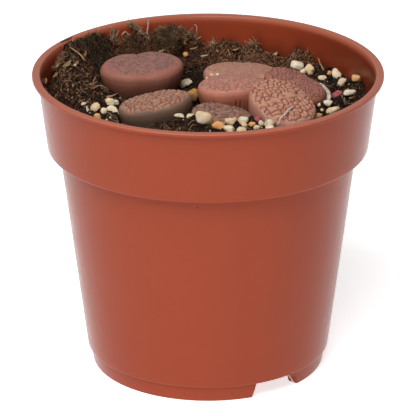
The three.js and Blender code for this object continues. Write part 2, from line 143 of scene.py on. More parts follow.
def closedSkin(rows):
    # rows of points, lowest first and anticlockwise from above, closed by a point at each end
    rowCount, columns, _ = rows.shape
    last = (rowCount - 1) * columns
    points = np.vstack([rows.reshape(-1, 3), rows[0].mean(0), rows[-1].mean(0)])
    first = np.arange(columns)
    return points, [gridFaces(rowCount, columns), fanFaces(first[::-1], last + columns),
                    fanFaces(first + last, last + columns + 1)]


def ballDirections(rows, columns):
    # rows of directions from the middle of a ball, lowest first, without the two poles
    angle = np.linspace(0, fullTurn, columns, endpoint=False)
    pitch = np.linspace(-math.pi / 2, math.pi / 2, rows + 2)[1:-1, None]
    return np.stack([np.cos(pitch) * np.cos(angle), np.cos(pitch) * np.sin(angle),
                     np.sin(pitch) + 0 * angle], -1)


def addValues(mesh, values):
    # for each title a number at each point, which a material reads
    for title, numbers in values.items():
        layer = mesh.attributes.new(title, "FLOAT", "POINT")
        layer.data.foreach_set("value", np.asarray(numbers, np.float32).ravel())


def repeated(points, **numbers):
    # the numbers of equal grains or strands, each one repeated for all of its own points
    return {title: np.repeat(each, len(points) // len(each)) for title, each in numbers.items()}


def newPiece(name, points, faceSets, material, values=None):
    # a mesh from points in millimetres and sets of faces
    mesh = bpy.data.meshes.new(name)
    mesh.vertices.add(len(points))
    mesh.vertices.foreach_set("co", (np.asarray(points) * mm).astype(np.float32).ravel())
    corners = np.concatenate([faces.ravel() for faces in faceSets])
    sizes = np.concatenate([np.full(len(faces), faces.shape[1]) for faces in faceSets])
    mesh.loops.add(len(corners))
    mesh.loops.foreach_set("vertex_index", corners.astype(np.int32))
    mesh.polygons.add(len(sizes))
    mesh.polygons.foreach_set("loop_start", (np.cumsum(sizes) - sizes).astype(np.int32))
    mesh.polygons.foreach_set("use_smooth", np.ones(len(sizes), bool))
    mesh.update(calc_edges=True)
    addValues(mesh, values or {})
    mesh.materials.append(material)
    piece = bpy.data.objects.new(name, mesh)
    scene.collection.objects.link(piece)
    return piece


def place(piece, slot, *nodes):
    # the pot and all in it are one body; a piece may stand for nodes of the frame
    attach(piece, "root")
    if nodes:
        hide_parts(*nodes)


def easedLine(corners, steps=5, longest=4):
    # straight stretches with eased corners, from corners of (radius, height, ease)
    line = []
    for i, (x, z, ease) in enumerate(corners):
        here = np.array([x, z])
        if ease and 0 < i < len(corners) - 1:
            toLast = np.array(corners[i - 1][:2]) - here
            toNext = np.array(corners[i + 1][:2]) - here
            start = here + toLast * min(0.5, ease / np.linalg.norm(toLast))
            end = here + toNext * min(0.5, ease / np.linalg.norm(toNext))
            t = np.linspace(0, 1, steps)[:, None]
            bend = (1 - t) ** 2 * start + 2 * t * (1 - t) * here + t**2 * end
        else:
            bend = here[None]
        if line:
            gap = np.linalg.norm(bend[0] - line[-1])
            share = np.linspace(0, 1, max(2, math.ceil(gap / longest) + 1))[1:-1, None]
            line.extend(line[-1] + share * (bend[0] - line[-1]))
        line.extend(bend)
    return np.array(line)


def turned(profile, columns):
    # a profile of radius and height turned about the upright axis, as rows of points
    angle = np.linspace(0, fullTurn, columns, endpoint=False)
    radius, height = profile[:, :1], profile[:, 1:]
    return np.stack([radius * np.cos(angle), radius * np.sin(angle),
                     np.broadcast_to(height, (len(profile), columns))], -1)


def tubes(paths, radii, sides=3):
    # a thin tube round each path of points, its ends closed
    count, steps, _ = paths.shape
    ahead = np.gradient(paths, axis=1)
    ahead /= np.linalg.norm(ahead, axis=2, keepdims=True) + 1e-9
    # hardly any strand runs along this slanting direction
    slanting = [0.31, 0.23, 0.92]
    side = np.cross(ahead, slanting)
    side /= np.linalg.norm(side, axis=2, keepdims=True) + 1e-9
    up = np.cross(ahead, side)
    angle = np.linspace(0, fullTurn, sides, endpoint=False)[:, None]
    ring = np.cos(angle) * side[:, :, None] + np.sin(angle) * up[:, :, None]
    points = paths[:, :, None] + ring * radii[:, :, None, None]
    first = steps * sides * np.arange(count)[:, None, None]
    body = (first + gridFaces(steps, sides)[None]).reshape(-1, 4)
    end = np.arange(sides)
    start = (first[:, 0] + end[::-1]).reshape(-1, sides)
    finish = (first[:, 0] + (steps - 1) * sides + end).reshape(-1, sides)
    return points.reshape(-1, 3), [body, start, finish]


def randomTurns(draw, count):
    # evenly spread turns in space, from unit quaternions
    values = draw.normal(size=(4, count))
    w, x, y, z = values / np.linalg.norm(values, axis=0)
    return np.stack([
        np.stack([1 - 2 * (y * y + z * z), 2 * (x * y - z * w), 2 * (x * z + y * w)], -1),
        np.stack([2 * (x * y + z * w), 1 - 2 * (x * x + z * z), 2 * (y * z - x * w)], -1),
        np.stack([2 * (x * z - y * w), 2 * (y * z + x * w), 1 - 2 * (x * x + y * y)], -1),
    ], 1)


def lumps(draw, middles, sizes, roughness=0.3):
    # small rough grains: a twenty-sided ball with its corners pushed in, stretched and turned
    golden = (1 + math.sqrt(5)) / 2
    corners = np.array([[s, t * golden, 0] for s in (-1, 1) for t in (-1, 1)])
    ball = np.vstack([corners, np.roll(corners, 1, 1), np.roll(corners, 2, 1)]) / math.hypot(1, golden)
    near = np.linalg.norm(ball[:, None] - ball[None], axis=2)
    edge = near[near > 1e-6].min() * 1.01
    threes = itertools.combinations(range(len(ball)), 3)
    faces = [list(f) for f in threes if near[np.ix_(f, f)].max() < edge]
    faces = np.array([f if np.linalg.det(ball[f]) > 0 else f[::-1] for f in faces])
    count, perGrain = len(middles), len(ball)
    pushed = ball[None] * (1 - roughness * draw.random((count, perGrain, 1)))
    points = np.einsum("nij,nkj->nki", randomTurns(draw, count), pushed * sizes[:, None] / 2)
    points += middles[:, None]
    first = perGrain * np.arange(count)[:, None, None]
    return points.reshape(-1, 3), [(first + faces[None]).reshape(-1, 3)]


# Material tools

def colour(code):
    # an sRGB hex value as linear red, green, blue and alpha
    parts = [int(code[i:i + 2], 16) / 255 for i in (1, 3, 5)]
    return [p / 12.92 if p <= 0.04045 else ((p + 0.055) / 1.055) ** 2.4 for p in parts] + [1]


def newMaterial(name, surface):
    # a material with one shader, its plain values given by the names of the sockets, and the
    # place of each point, which steers the patterns
    material = bpy.data.materials.new(name)
    material.use_nodes = True
    tree = material.node_tree
    shader = tree.nodes["Principled BSDF"]
    for title, value in surface.items():
        shader.inputs[title].default_value = value
    return material, tree, shader, addNode(tree, "TexCoord", {}, {}, objectPlace)


def feed(tree, shader, links):
    # sockets of the shader, each fed by another node's output
    for title, output in links.items():
        tree.links.new(output, shader.inputs[title])


def addNode(tree, kind, settings, links, out=0):
    # a node with its settings, each input fed by a value or by another node's output
    node = tree.nodes.new("ShaderNode" + kind)
    for name, value in settings.items():
        setattr(node, name, value)
    for name, value in links.items():
        if isinstance(value, bpy.types.NodeSocket):
            tree.links.new(value, node.inputs[name])
        else:
            node.inputs[name].default_value = value
    return node.outputs[out]


# For the Mix node: 0 is the share, 6 and 7 the two colours, and output 2 their mixture.
mixKind = {"data_type": "RGBA"}
objectPlace, attributeNumber, mixedColour = 3, 2, 2


def perMm(size):
    # the scale of a pattern of this size in millimetres, as Object coordinates are in metres
    return 1 / (size * mm)


# Pot

potSize = {
    "height": 92, "rimRadius": 52.5, "lipHeight": 1.1, "lipWidth": 2.3, "lipRounding": 0.45,
    "wall": 1.2, "bandTopRadius": 50.8, "bandFootRadius": 48.1, "bandFootHeight": 69,
    "bodyTopRadius": 44.7, "bodyFootRadius": 36.65, "stepRounding": 0.6, "floorThickness": 1.2,
    "footRadius": 35.9, "footTaper": 0.8, "footWidth": 4.2, "footHeight": 4.9, "footRounding": 0.3,
    # gaps in the foot, as degrees to the right of the front; low and high edges differ
    "gapLow": (21.5, 50.5), "gapHigh": (24, 47.5), "gapRepeats": 2, "gapSteps": 9,
    "drainCircle": 23, "drainRadius": 3, "drainCount": 6, "holeSides": 40,
    "gapHoleAngle": 39.5, "gapHoleCircle": 29.5, "gapHoleRadius": 1.9,
    # how far joined parts overlap, how far cutters stand proud, and the skin's hub on the axis
    "overlap": 0.6, "proud": 1, "hubRadius": 0.5,
    # how far corners are eased: at the foot, under the band, under the lip, then inside below the
    # lip, at the ledge and at the floor
    "footEase": 0.5, "bandEase": 0.35, "lipEase": 0.3, "innerEases": (0.5, 0.4, 0.8),
    "columns": 288, "rowHeight": 2.5, "sharpAngle": 38,
    # the last colour is a painted highlight on the lip's top, where light falls on it
    "colour": "#943f26", "darker": "#8d3b23", "lipHighlightColour": "#b2644c",
    # painted shade on the inside, darker just above the mix and towards the right, where shade falls:
    # the heights above the mix where it ends and where it is full, how much they waver, its strongest
    # share, how far outside the inner face a point may lie to take it, and a thinner painted shade that
    # comes in towards the right
    "innerShadeColour": "#3a150c", "innerShadeReach": (5.5, -1), "innerShadeWaver": 0.6, "innerShadeShare": 0.6,
    "innerShadeSlack": 0.4, "rightWallShade": 0.3, "rightShadeEdge": (18, 42),
}
lipFoot = potSize["height"] - potSize["lipHeight"]
ledgeTop = potSize["bandFootHeight"] + potSize["wall"]
floorTop = potSize["footHeight"] + potSize["floorThickness"]


def innerRadius(z):
    # inside of the wall: the tapering body, then the ledge, then the wider band
    p = potSize
    body = np.interp(z, [p["footHeight"], p["bandFootHeight"]], [p["bodyFootRadius"], p["bodyTopRadius"]])
    band = np.interp(z, [p["bandFootHeight"], lipFoot], [p["bandFootRadius"], p["bandTopRadius"]])
    return np.where(np.asarray(z) < ledgeTop - 1e-6, body, band) - p["wall"]


def mouldedPolypropylene():
    # terracotta-coloured polypropylene, injection moulded: satin, with soft broad highlights,
    # a faint cloudiness, a few scuffs that only show in the gloss, the lip's top made paler as a painted
    # highlight, and painted shade that darkens the inside just above the mix and towards the right
    p = potSize
    surface = {"IOR": 1.49, "Specular IOR Level": 0.15}
    material, tree, shader, spot = newMaterial("moulded polypropylene", surface)
    tint = addNode(tree, "TexNoise", {}, {"Vector": spot, "Scale": perMm(14), "Detail": 4})
    tint = addNode(tree, "Mix", mixKind, {0: tint, 6: colour(p["colour"]), 7: colour(p["darker"])},
                   mixedColour)
    for title, shade in (("paintedInnerShade", p["innerShadeColour"]), ("lipHighlight", p["lipHighlightColour"])):
        share = addNode(tree, "Attribute", {"attribute_name": title}, {}, attributeNumber)
        tint = addNode(tree, "Mix", mixKind, {0: share, 6: tint, 7: colour(shade)}, mixedColour)
    scuff = addNode(tree, "TexNoise", {}, {"Vector": spot, "Scale": perMm(5), "Detail": 3})
    gloss = addNode(tree, "MapRange", {}, {"Value": scuff, "From Min": 0.35, "From Max": 0.75,
                                           "To Min": 0.21, "To Max": 0.27})
    grain = addNode(tree, "TexNoise", {}, {"Vector": spot, "Scale": perMm(0.7), "Detail": 3})
    bump = addNode(tree, "Bump", {}, {"Strength": 0.12, "Distance": 0.05 * mm, "Height": grain})
    feed(tree, shader, {"Base Color": tint, "Roughness": gloss, "Normal": bump})
    return material


def combined(piece, other, operation):
    # the piece joined with or cut by another closed piece, which is then gone
    change = piece.modifiers.new(operation.lower(), "BOOLEAN")
    change.operation = operation
    change.solver = "EXACT"
    change.object = other
    graph = bpy.context.evaluated_depsgraph_get()
    mesh = bpy.data.meshes.new_from_object(piece.evaluated_get(graph))
    piece.modifiers.clear()
    piece.data = mesh
    bpy.data.objects.remove(other)


def footRing(name, inset, low, high, material):
    # the foot's four-sided section turned all the way round, narrower downwards
    p = potSize
    outer = p["footRadius"] - inset
    inner = p["footRadius"] - p["footWidth"] - p["footTaper"] / 2 + inset
    lowInner, lowOuter, rounding = inner + p["footTaper"] / 2, outer - p["footTaper"], p["footRounding"]
    section = easedLine([(lowInner, low + 1, 0), (lowInner, low, rounding), (lowOuter, low, rounding),
                         (outer, high, 0), (inner, high, 0), (lowInner, low + 1, 0)])[:-1]
    rows = turned(section, p["columns"])
    return newPiece(name, rows.reshape(-1, 3), [ringFaces(*rows.shape[:2])], material)


def footGap(turn, spare, material):
    # a wedge across the foot with sloping ends, wider at the bottom
    p = potSize
    steps = p["gapSteps"]
    inner, outer = p["footRadius"] - 2 * p["footWidth"], p["footRadius"] + p["footWidth"]
    radius = np.repeat([outer, inner], steps)
    widen = math.degrees(spare / p["footRadius"])
    rows = []
    for (start, end), z in ((p["gapLow"], -p["proud"]), (p["gapHigh"], p["footHeight"] + spare)):
        angle = np.radians(turn + np.linspace(start - widen, end + widen, steps))
        angle = np.concatenate([angle, angle[::-1]])
        rows.append(np.stack([radius * np.sin(angle), -radius * np.cos(angle), np.full(2 * steps, z)], -1))
    return newPiece("gap", *closedSkin(np.array(rows)), material)


def drainHole(degrees, circleRadius, radius, material):
    # a round cutter through the floor, some degrees to the right of the front
    p = potSize
    angle = math.radians(degrees)
    middle = np.array([circleRadius * math.sin(angle), -circleRadius * math.cos(angle), 0])
    line = np.array([[radius, p["footHeight"] - p["proud"]], [radius, floorTop + p["proud"]]])
    return newPiece("hole", *closedSkin(turned(line, p["holeSides"]) + middle), material)


def makePot():
    # a profile turned round, with a foot ring added, then its hollow channel and the holes cut
    p = potSize
    material = mouldedPolypropylene()
    rounding, step, hub = p["lipRounding"], p["stepRounding"], p["hubRadius"]
    lipInner = p["rimRadius"] - p["lipWidth"]
    belowLip, ledge, floor = p["innerEases"]
    # down the inside, from just below the lip over the ledge, which has two corners, to the floor
    inside = [(lipFoot - 1, lipFoot - 1, belowLip), (ledgeTop, ledgeTop, ledge),
              (ledgeTop - 0.01, ledgeTop, ledge), (floorTop, floorTop, floor)]
    profile = easedLine([
        (hub, p["footHeight"], 0), (p["bodyFootRadius"], p["footHeight"], p["footEase"]),
        (p["bodyTopRadius"], p["bandFootHeight"], p["bandEase"]),
        (p["bandFootRadius"], p["bandFootHeight"], step),
        (p["bandTopRadius"], lipFoot, p["lipEase"]), (p["rimRadius"], lipFoot, p["lipEase"]),
        (p["rimRadius"], p["height"], rounding), (lipInner, p["height"], rounding),
        *[(float(innerRadius(at)), height, ease) for at, height, ease in inside],
        (hub, floorTop, 0),
    ], longest=p["rowHeight"])
    pot = newPiece("pot_moulded", *closedSkin(turned(profile, p["columns"])), material)
    foot = footRing("foot", 0, 0, p["footHeight"] + p["overlap"], material)
    channel = footRing("channel", p["wall"], p["wall"], floorTop + p["overlap"], material)
    repeats = [360 / p["gapRepeats"] * i for i in range(p["gapRepeats"])]
    for ring, spare in ((foot, 0), (channel, p["wall"])):
        for turn in repeats:
            combined(ring, footGap(turn, spare, material), "DIFFERENCE")
    combined(pot, foot, "UNION")
    combined(pot, channel, "DIFFERENCE")
    for i in range(p["drainCount"]):
        hole = drainHole(360 / p["drainCount"] * i, p["drainCircle"], p["drainRadius"], material)
        combined(pot, hole, "DIFFERENCE")
    for turn in repeats:
        hole = drainHole(p["gapHoleAngle"] + turn, p["gapHoleCircle"], p["gapHoleRadius"], material)
        combined(pot, hole, "DIFFERENCE")
    pot.data.polygons.foreach_set("use_smooth", np.ones(len(pot.data.polygons), bool))
    pot.data.set_sharp_from_angle(angle=math.radians(p["sharpAngle"]))
    spots = np.empty(len(pot.data.vertices) * 3, np.float32)
    pot.data.vertices.foreach_get("co", spots)
    x, y, z = spots.reshape(-1, 3).T / mm
    # painted shade: the inner wall is darker just above the mix and towards the right, where shade falls
    inside = (np.hypot(x, y) < innerRadius(z) + p["innerShadeSlack"]) & (z > ledgeTop) & (z < lipFoot)
    above = z - mixHeight(x, y) + p["innerShadeWaver"] * mazeWaves(x, y, seed=17, spacing=9, count=5)
    paintedInnerShade = p["innerShadeShare"] * inside * fade(above, *p["innerShadeReach"])
    paintedInnerShade = np.maximum(paintedInnerShade, p["rightWallShade"] * inside * fade(x, *p["rightShadeEdge"]))
    # the lip's top takes the painted highlight colour
    addValues(pot.data, {"paintedInnerShade": paintedInnerShade, "lipHighlight": z > p["height"] - p["lipRounding"]})
    place(pot, "pot_plastic", "pot")


# Plants

# Middle and height of the face, lean of the axis to the right and to the back, turn of the long
# axis, half length and half width, crown; then the skin. cell is the size of the islands between
# furrows, depth and width the furrows' own, keep the share of furrows that are open, field the
# share of the face where they start to fade and where they end, band the half width of the smooth
# strip along the cleft, valley its broad dip, cleft the depth of its slit at the front and at the
# back, dots the strength of the dusky dots, and creases the deep ones down the side, in degrees.
plants = [
    {"at": (-20.0, 15.8, 88.8), "lean": (-0.7, -4.7), "turn": 12, "half": (12.7, 9.6), "crown": 0.5,
     "cell": 1.3, "depth": 0.05, "width": 0.13, "keep": 0.45, "field": (0.7, 0.98), "band": 0.5,
     "valley": 0.45, "cleft": (0.0, 0.4), "dots": 0.85, "dotSize": 1.2, "creases": (),
     "face": "#a37368", "island": "#946a60", "furrow": "#7e544b", "margin": "#a2695a",
     "side": "#8a5543", "low": "#452b20", "dot": "#6d4f4a"},
    {"at": (-15.9, -10.9, 87.2), "lean": (-7.6, -0.2), "turn": 16, "half": (11.15, 7.7), "crown": 0.6,
     "cell": 1.75, "depth": 0.3, "width": 0.2, "keep": 1.0, "field": (0.93, 1.03), "band": 0.2,
     "valley": 0.1, "cleft": (0.0, 0.1), "dots": 0.25, "dotSize": 0.8, "creases": (),
     "face": "#b58a72", "island": "#ad816a", "furrow": "#87493a", "margin": "#836756",
     "side": "#5d483b", "low": "#3f3029", "dot": "#745f51"},
    {"at": (6.8, 1.4, 88.3), "lean": (-2.7, -3.0), "turn": 9, "half": (10.1, 7.25), "crown": 0.7,
     "cell": 1.2, "depth": 0.2, "width": 0.13, "keep": 0.8, "field": (0.9, 1.02), "band": 0.4,
     "valley": 0.12, "cleft": (0.0, 0.15), "dots": 0.35, "dotSize": 0.7, "creases": (-88, -80, -129),
     "face": "#ba887a", "island": "#b07e6f", "furrow": "#94594b", "margin": "#c7826d",
     "side": "#ab6048", "low": "#74412f", "dot": "#876558"},
    {"at": (10.0, 18.4, 86.0), "lean": (0.8, 3.0), "turn": -5, "half": (11.4, 8.8), "crown": 0.5,
     "cell": 1.7, "depth": 0.1, "width": 0.15, "keep": 0.5, "field": (0.8, 1.0), "band": 0.4,
     "valley": 0.15, "cleft": (0.0, 0.12), "dots": 0.3, "dotSize": 0.8, "creases": (),
     "face": "#bc8873", "island": "#b17f6a", "furrow": "#95604d", "margin": "#c48b76",
     "side": "#9a634b", "low": "#583627", "dot": "#8a6a5a"},
    {"at": (22.4, -14.6, 88.7), "lean": (11.3, -14.6), "turn": -56, "half": (11.25, 9.45), "crown": 0.8,
     "cell": 1.55, "depth": 0.42, "width": 0.19, "keep": 0.92, "field": (0.96, 1.03), "band": 0.45,
     "valley": 0.12, "cleft": (0.0, 0.05), "dots": 0.15, "dotSize": 0.6, "creases": (),
     "face": "#c18d76", "island": "#b8836c", "furrow": "#7c4033", "margin": "#ca947e",
     "side": "#c28a77", "low": "#92593f", "dot": "#9c7666"},
    {"at": (26.5, 4.5, 87.3), "lean": (13.7, -5.2), "turn": -39, "half": (10.2, 7.9), "crown": 0.6,
     "cell": 1.1, "depth": 0.2, "width": 0.13, "keep": 0.92, "field": (0.93, 1.03), "band": 0.4,
     "valley": 0.15, "cleft": (0.0, 0.3), "dots": 0.35, "dotSize": 0.8, "creases": (),
     "face": "#b27a69", "island": "#99665a", "furrow": "#703a33", "margin": "#b0705c",
     "side": "#7a4838", "low": "#3e2b1e", "dot": "#7a5650"},
    {"at": (4.3, -16.5, 85.3), "lean": (3.0, -4.8), "turn": -22, "half": (9.5, 6.7), "crown": 0.5,
     "cell": 1.5, "depth": 0.2, "width": 0.2, "keep": 0.6, "field": (0.88, 1.02), "band": 0.4,
     "valley": 0.12, "cleft": (0.0, 0.15), "dots": 0.7, "dotSize": 1.3, "creases": (),
     "face": "#a17a69", "island": "#8a6658", "furrow": "#5e3a34", "margin": "#9c7a64",
     "side": "#7a5a4a", "low": "#43301f", "dot": "#7c4a42"},
]

plantForm = {
    "faceShare": 0.86, "shoulder": 0.965, "columns": 288, "faceRows": 44, "sideRows": 36,
    "pinch": 0.05, "pinchAngle": 16,
    # furrows run outwards from the middle of each leaf: how far that lies from the cleft, as a
    # share of the half length, from which share of the way out they start to, and how strongly
    "leafMiddle": 0.42, "calm": 0.4, "squeeze": 0.68,
    # share of the widest size and depth below the face, from the face's edge down to the root
    "side": [(0.86, 0), (0.935, 0.4), (0.982, 1.15), (1, 2.4), (0.945, 6), (0.78, 12.5), (0.48, 18.5),
             (0.2, 23.5)],
    "rootTip": 26,
    # creases: half width in radians, depth, and how far below the face they start and are full
    "creaseWidth": 0.025, "creaseDepth": 0.4, "creaseStart": (3, 4.6),
    # half widths of the cleft's valley, of its slit and of the dark line of painted shade in that; the
    # valley's share of its depth at the middle of the face, from where on the slit deepens towards the
    # back, and how far down the side both run out
    "valleyWidth": 2.6, "slitWidth": 0.35, "slitShadeWidth": 0.3, "valleyMiddle": 0.35, "slitStart": 0.3,
    "cleftEnd": 1.2,
    # islands swell between the furrows: by which share of a furrow's depth, and how far in
    "pillow": 0.35, "pillowWidth": 0.45,
    # unevenness, as height, size and seed, of the net's edge, the face, the side and its grain
    "edgeNoise": (0.05, 2.2, 40), "faceNoise": (0.05, 2.4, 60), "sideNoise": (0.14, 4.5, 70),
    "sideGrain": (0.035, 0.7, 80),
    # the side's unevenness is drawn out downwards, and starts and is full at these depths
    "drawnOut": 0.35, "sideStart": (0.2, 2.5),
    # the net's seed and, as shares of a cell, the step between its rows, how far its seeds are
    # pushed about, how far it is swirled and how large the swirls are
    "netSeed": 100, "netStep": 0.88, "netPush": 0.42, "swirl": 0.22, "swirlSize": 0.8,
    # how softly furrows open and close, from which openness on one counts, and below which depth
    # there is no net
    "opening": (-0.08, 0.12), "openFrom": 0.3, "netEnd": 1.4,
    # above its face a body counts as narrower, so that things may lean over its edge
    "clearShare": 0.9,
}


def plantAxes(plant):
    # the body's own right, back and up: up leans, right is turned about it
    up = np.array([*np.tan(np.radians(plant["lean"])), 1])
    up /= np.linalg.norm(up)
    turn = math.radians(plant["turn"])
    right = np.array([math.cos(turn), math.sin(turn), 0])
    right -= up * (right @ up)
    right /= np.linalg.norm(right)
    return np.array([right, np.cross(up, right), up])


def plantWaist(angle):
    # the outline narrows a little where the cleft meets it, at a quarter turn from the right
    fromCleft = np.arccos(np.minimum(1, np.abs(np.sin(angle))))
    return 1 - plantForm["pinch"] * np.exp(-(fromCleft / math.radians(plantForm["pinchAngle"])) ** 2)


def plantDistance(points):
    # about how far each point lies outside the nearest body, negative inside it
    shares, depths = np.array(plantForm["side"]).T
    nearest = np.full(points.shape[:-1], np.inf)
    for plant in plants:
        x, y, z = np.moveaxis((points - plant["at"]) @ plantAxes(plant).T, -1, 0)
        share = np.where(z > 0, plantForm["clearShare"], np.interp(-z, depths, shares))
        a, b = plant["half"]
        reach = np.hypot(x / (a * share), y / (b * share))
        # the top of a body lies about a millimetre above its place
        beside = (reach - 1) * share * (a + b) / 2
        nearest = np.minimum(nearest, np.where(z > 1, np.maximum(beside, z - 1), beside))
    return nearest


def furrowNet(x, y, plant, seed):
    # random seeds on a staggered grid; a furrow runs where the nearest two are equally far, if that
    # pair's draw says so; gives the furrow from 0 to 1, the distance to the nearest furrow and a
    # number for each island
    draw, form = np.random.default_rng(seed), plantForm
    cell, width = plant["cell"], plant["width"]
    reach = math.ceil(max(plant["half"]) / cell) + 1
    rows, columns = np.mgrid[-reach:reach + 1, -reach:reach + 1]
    middles = np.stack([columns + 0.5 * (rows % 2), rows * form["netStep"]], -1).reshape(-1, 2) * cell
    middles += draw.uniform(-form["netPush"], form["netPush"], middles.shape) * cell
    swirls = [softNoise(np.stack([x, y, 0 * x + 9 * i], -1), cell * form["swirlSize"], seed + i)
              for i in range(2)]
    points = np.stack([x, y], -1)
    points += form["swirl"] * cell * np.stack(swirls, -1)
    apart = ((points[:, None] - middles[None]) ** 2).sum(-1)
    order = np.argpartition(apart, 3, axis=1)[:, :3]
    near = np.take_along_axis(apart, order, 1)
    rank = np.argsort(near, axis=1)
    order, near = np.take_along_axis(order, rank, 1), np.take_along_axis(near, rank, 1)
    first = order[:, 0]
    furrow, toFurrow = np.zeros(len(x)), np.full(len(x), cell)
    for other in (1, 2):
        second = order[:, other]
        between = np.linalg.norm(middles[first] - middles[second], axis=1) + 1e-6
        edge = (near[:, other] - near[:, 0]) / (2 * between)
        pair = np.stack([np.minimum(first, second), np.maximum(first, second), 0 * first], -1)
        isOpen = fade(plant["keep"] - latticeHash(pair, seed), *form["opening"])
        furrow = np.maximum(furrow, isOpen * np.exp(-(edge / width) ** 2))
        toFurrow = np.minimum(toFurrow, np.where(isOpen > form["openFrom"], edge, cell))
    return furrow, toFurrow, latticeHash(np.stack([first, 0 * first, 0 * first], -1), seed + 5)


def uneven(points, title, number, noise=layeredNoise):
    # a plant's own noise, of the height and size that the form gives
    height, size, seed = plantForm[title]
    return height * noise(points, size, seed + number)


def bodySkin(plant, number):
    # rings of the outline from the root up the side and on over the face to its middle; the curve
    # down the side gives each ring's share of the full size and its depth below the face
    form = plantForm
    angle = np.linspace(0, fullTurn, form["columns"], endpoint=False)
    side = smoothLine(form["side"], form["sideRows"])
    toEdge = np.linspace(1, 0, form["faceRows"] + 1)[1:-1]
    share = np.concatenate([side[::-1, 0], form["faceShare"] * toEdge])[:, None]
    down = np.concatenate([side[::-1, 1], 0 * toEdge])[:, None]
    waist = plantWaist(angle)
    a, b = plant["half"]
    x, y = share * a * waist * np.cos(angle), share * b * waist * np.sin(angle)
    down, share = down + 0 * x, share + 0 * x
    onSide = down > 0
    flat = np.where(onSide, 1, share / form["faceShare"])
    outward = np.where(down > form["netEnd"], 2, share / form["shoulder"])

    # away from the middle of each leaf the net is squeezed inwards, so that its furrows run outwards
    leafX = np.where(x < 0, -1, 1) * a * form["leafMiddle"]
    reach = np.hypot((x - leafX) / (a * (1 - form["leafMiddle"])), y / b)
    squeeze = (np.minimum(reach, form["calm"]) + form["squeeze"] * np.maximum(reach - form["calm"], 0))
    squeeze /= np.maximum(reach, 1e-6)
    netX, netY = leafX + (x - leafX) * squeeze, y * squeeze
    net = furrowNet(netX.ravel(), netY.ravel(), plant, form["netSeed"] + number)
    furrow, toFurrow, island = (v.reshape(x.shape) for v in net)
    spot = np.stack([x, y, 0 * x + 50 * number], -1)
    ragged = uneven(spot, "edgeNoise", number, softNoise)
    inField = fade(outward + ragged, plant["field"][1], plant["field"][0])
    strip = 1 - np.exp(-(np.abs(x) / plant["band"]) ** 2)
    furrow = furrow * inField * strip
    pillow = form["pillow"] * plant["depth"] * (1 - np.exp(-(toFurrow / form["pillowWidth"]) ** 2))
    pillow = pillow * inField * strip

    along = np.clip(y / b * 0.5 + 0.5, 0, 1)
    front, back = plant["cleft"]
    cleftDepth = front + (back - front) * fade(along, form["slitStart"], 1)
    valley = plant["valley"] * np.exp(-(x / form["valleyWidth"]) ** 2)
    slit = cleftDepth * np.exp(-(x / form["slitWidth"]) ** 2)
    middle = form["valleyMiddle"]
    cleft = (valley * (middle + (1 - middle) * flat**2) + slit) * np.exp(-down / form["cleftEnd"])
    dome = plant["crown"] * (1 - flat**2) - cleft
    z = dome - down + uneven(spot, "faceNoise", number) * ~onSide - plant["depth"] * furrow + pillow

    # the side is a little lumpy and finely creased downwards, with some deeper creases
    around = np.stack([a * np.cos(angle) + 0 * x, b * np.sin(angle) + 0 * x, form["drawnOut"] * down], -1)
    creases = [np.exp(-((angle - math.radians(turn % 360)) / form["creaseWidth"]) ** 2)
               for turn in plant["creases"]]
    crease = sum(creases, 0 * angle) * fade(down, *form["creaseStart"])
    swell = uneven(around, "sideNoise", number) + uneven(around, "sideGrain", number, softNoise)
    swell = swell * fade(down, *form["sideStart"]) - form["creaseDepth"] * crease
    x += swell * np.cos(angle)
    y += swell * np.sin(angle)

    points, faceSets = closedSkin(np.stack([x, y, z], -1))
    points[-2] = (0, 0, -form["rootTip"])
    values = {
        "furrow": furrow, "island": island * inField, "margin": 1 - inField, "down": down,
        "strip": (1 - strip) * ~onSide,
        # the dark line in the slit is painted shade
        "slit": np.exp(-(x / form["slitShadeWidth"]) ** 2) * np.minimum(1, slit / 0.5) * ~onSide,
        "crease": crease,
    }
    # the root's tip and the middle of the face take the mean of the ring next to them
    values = {title: np.concatenate([v.ravel(), [v[0].mean(), v[-1].mean()]])
              for title, v in values.items()}
    return points @ plantAxes(plant) + plant["at"], faceSets, values


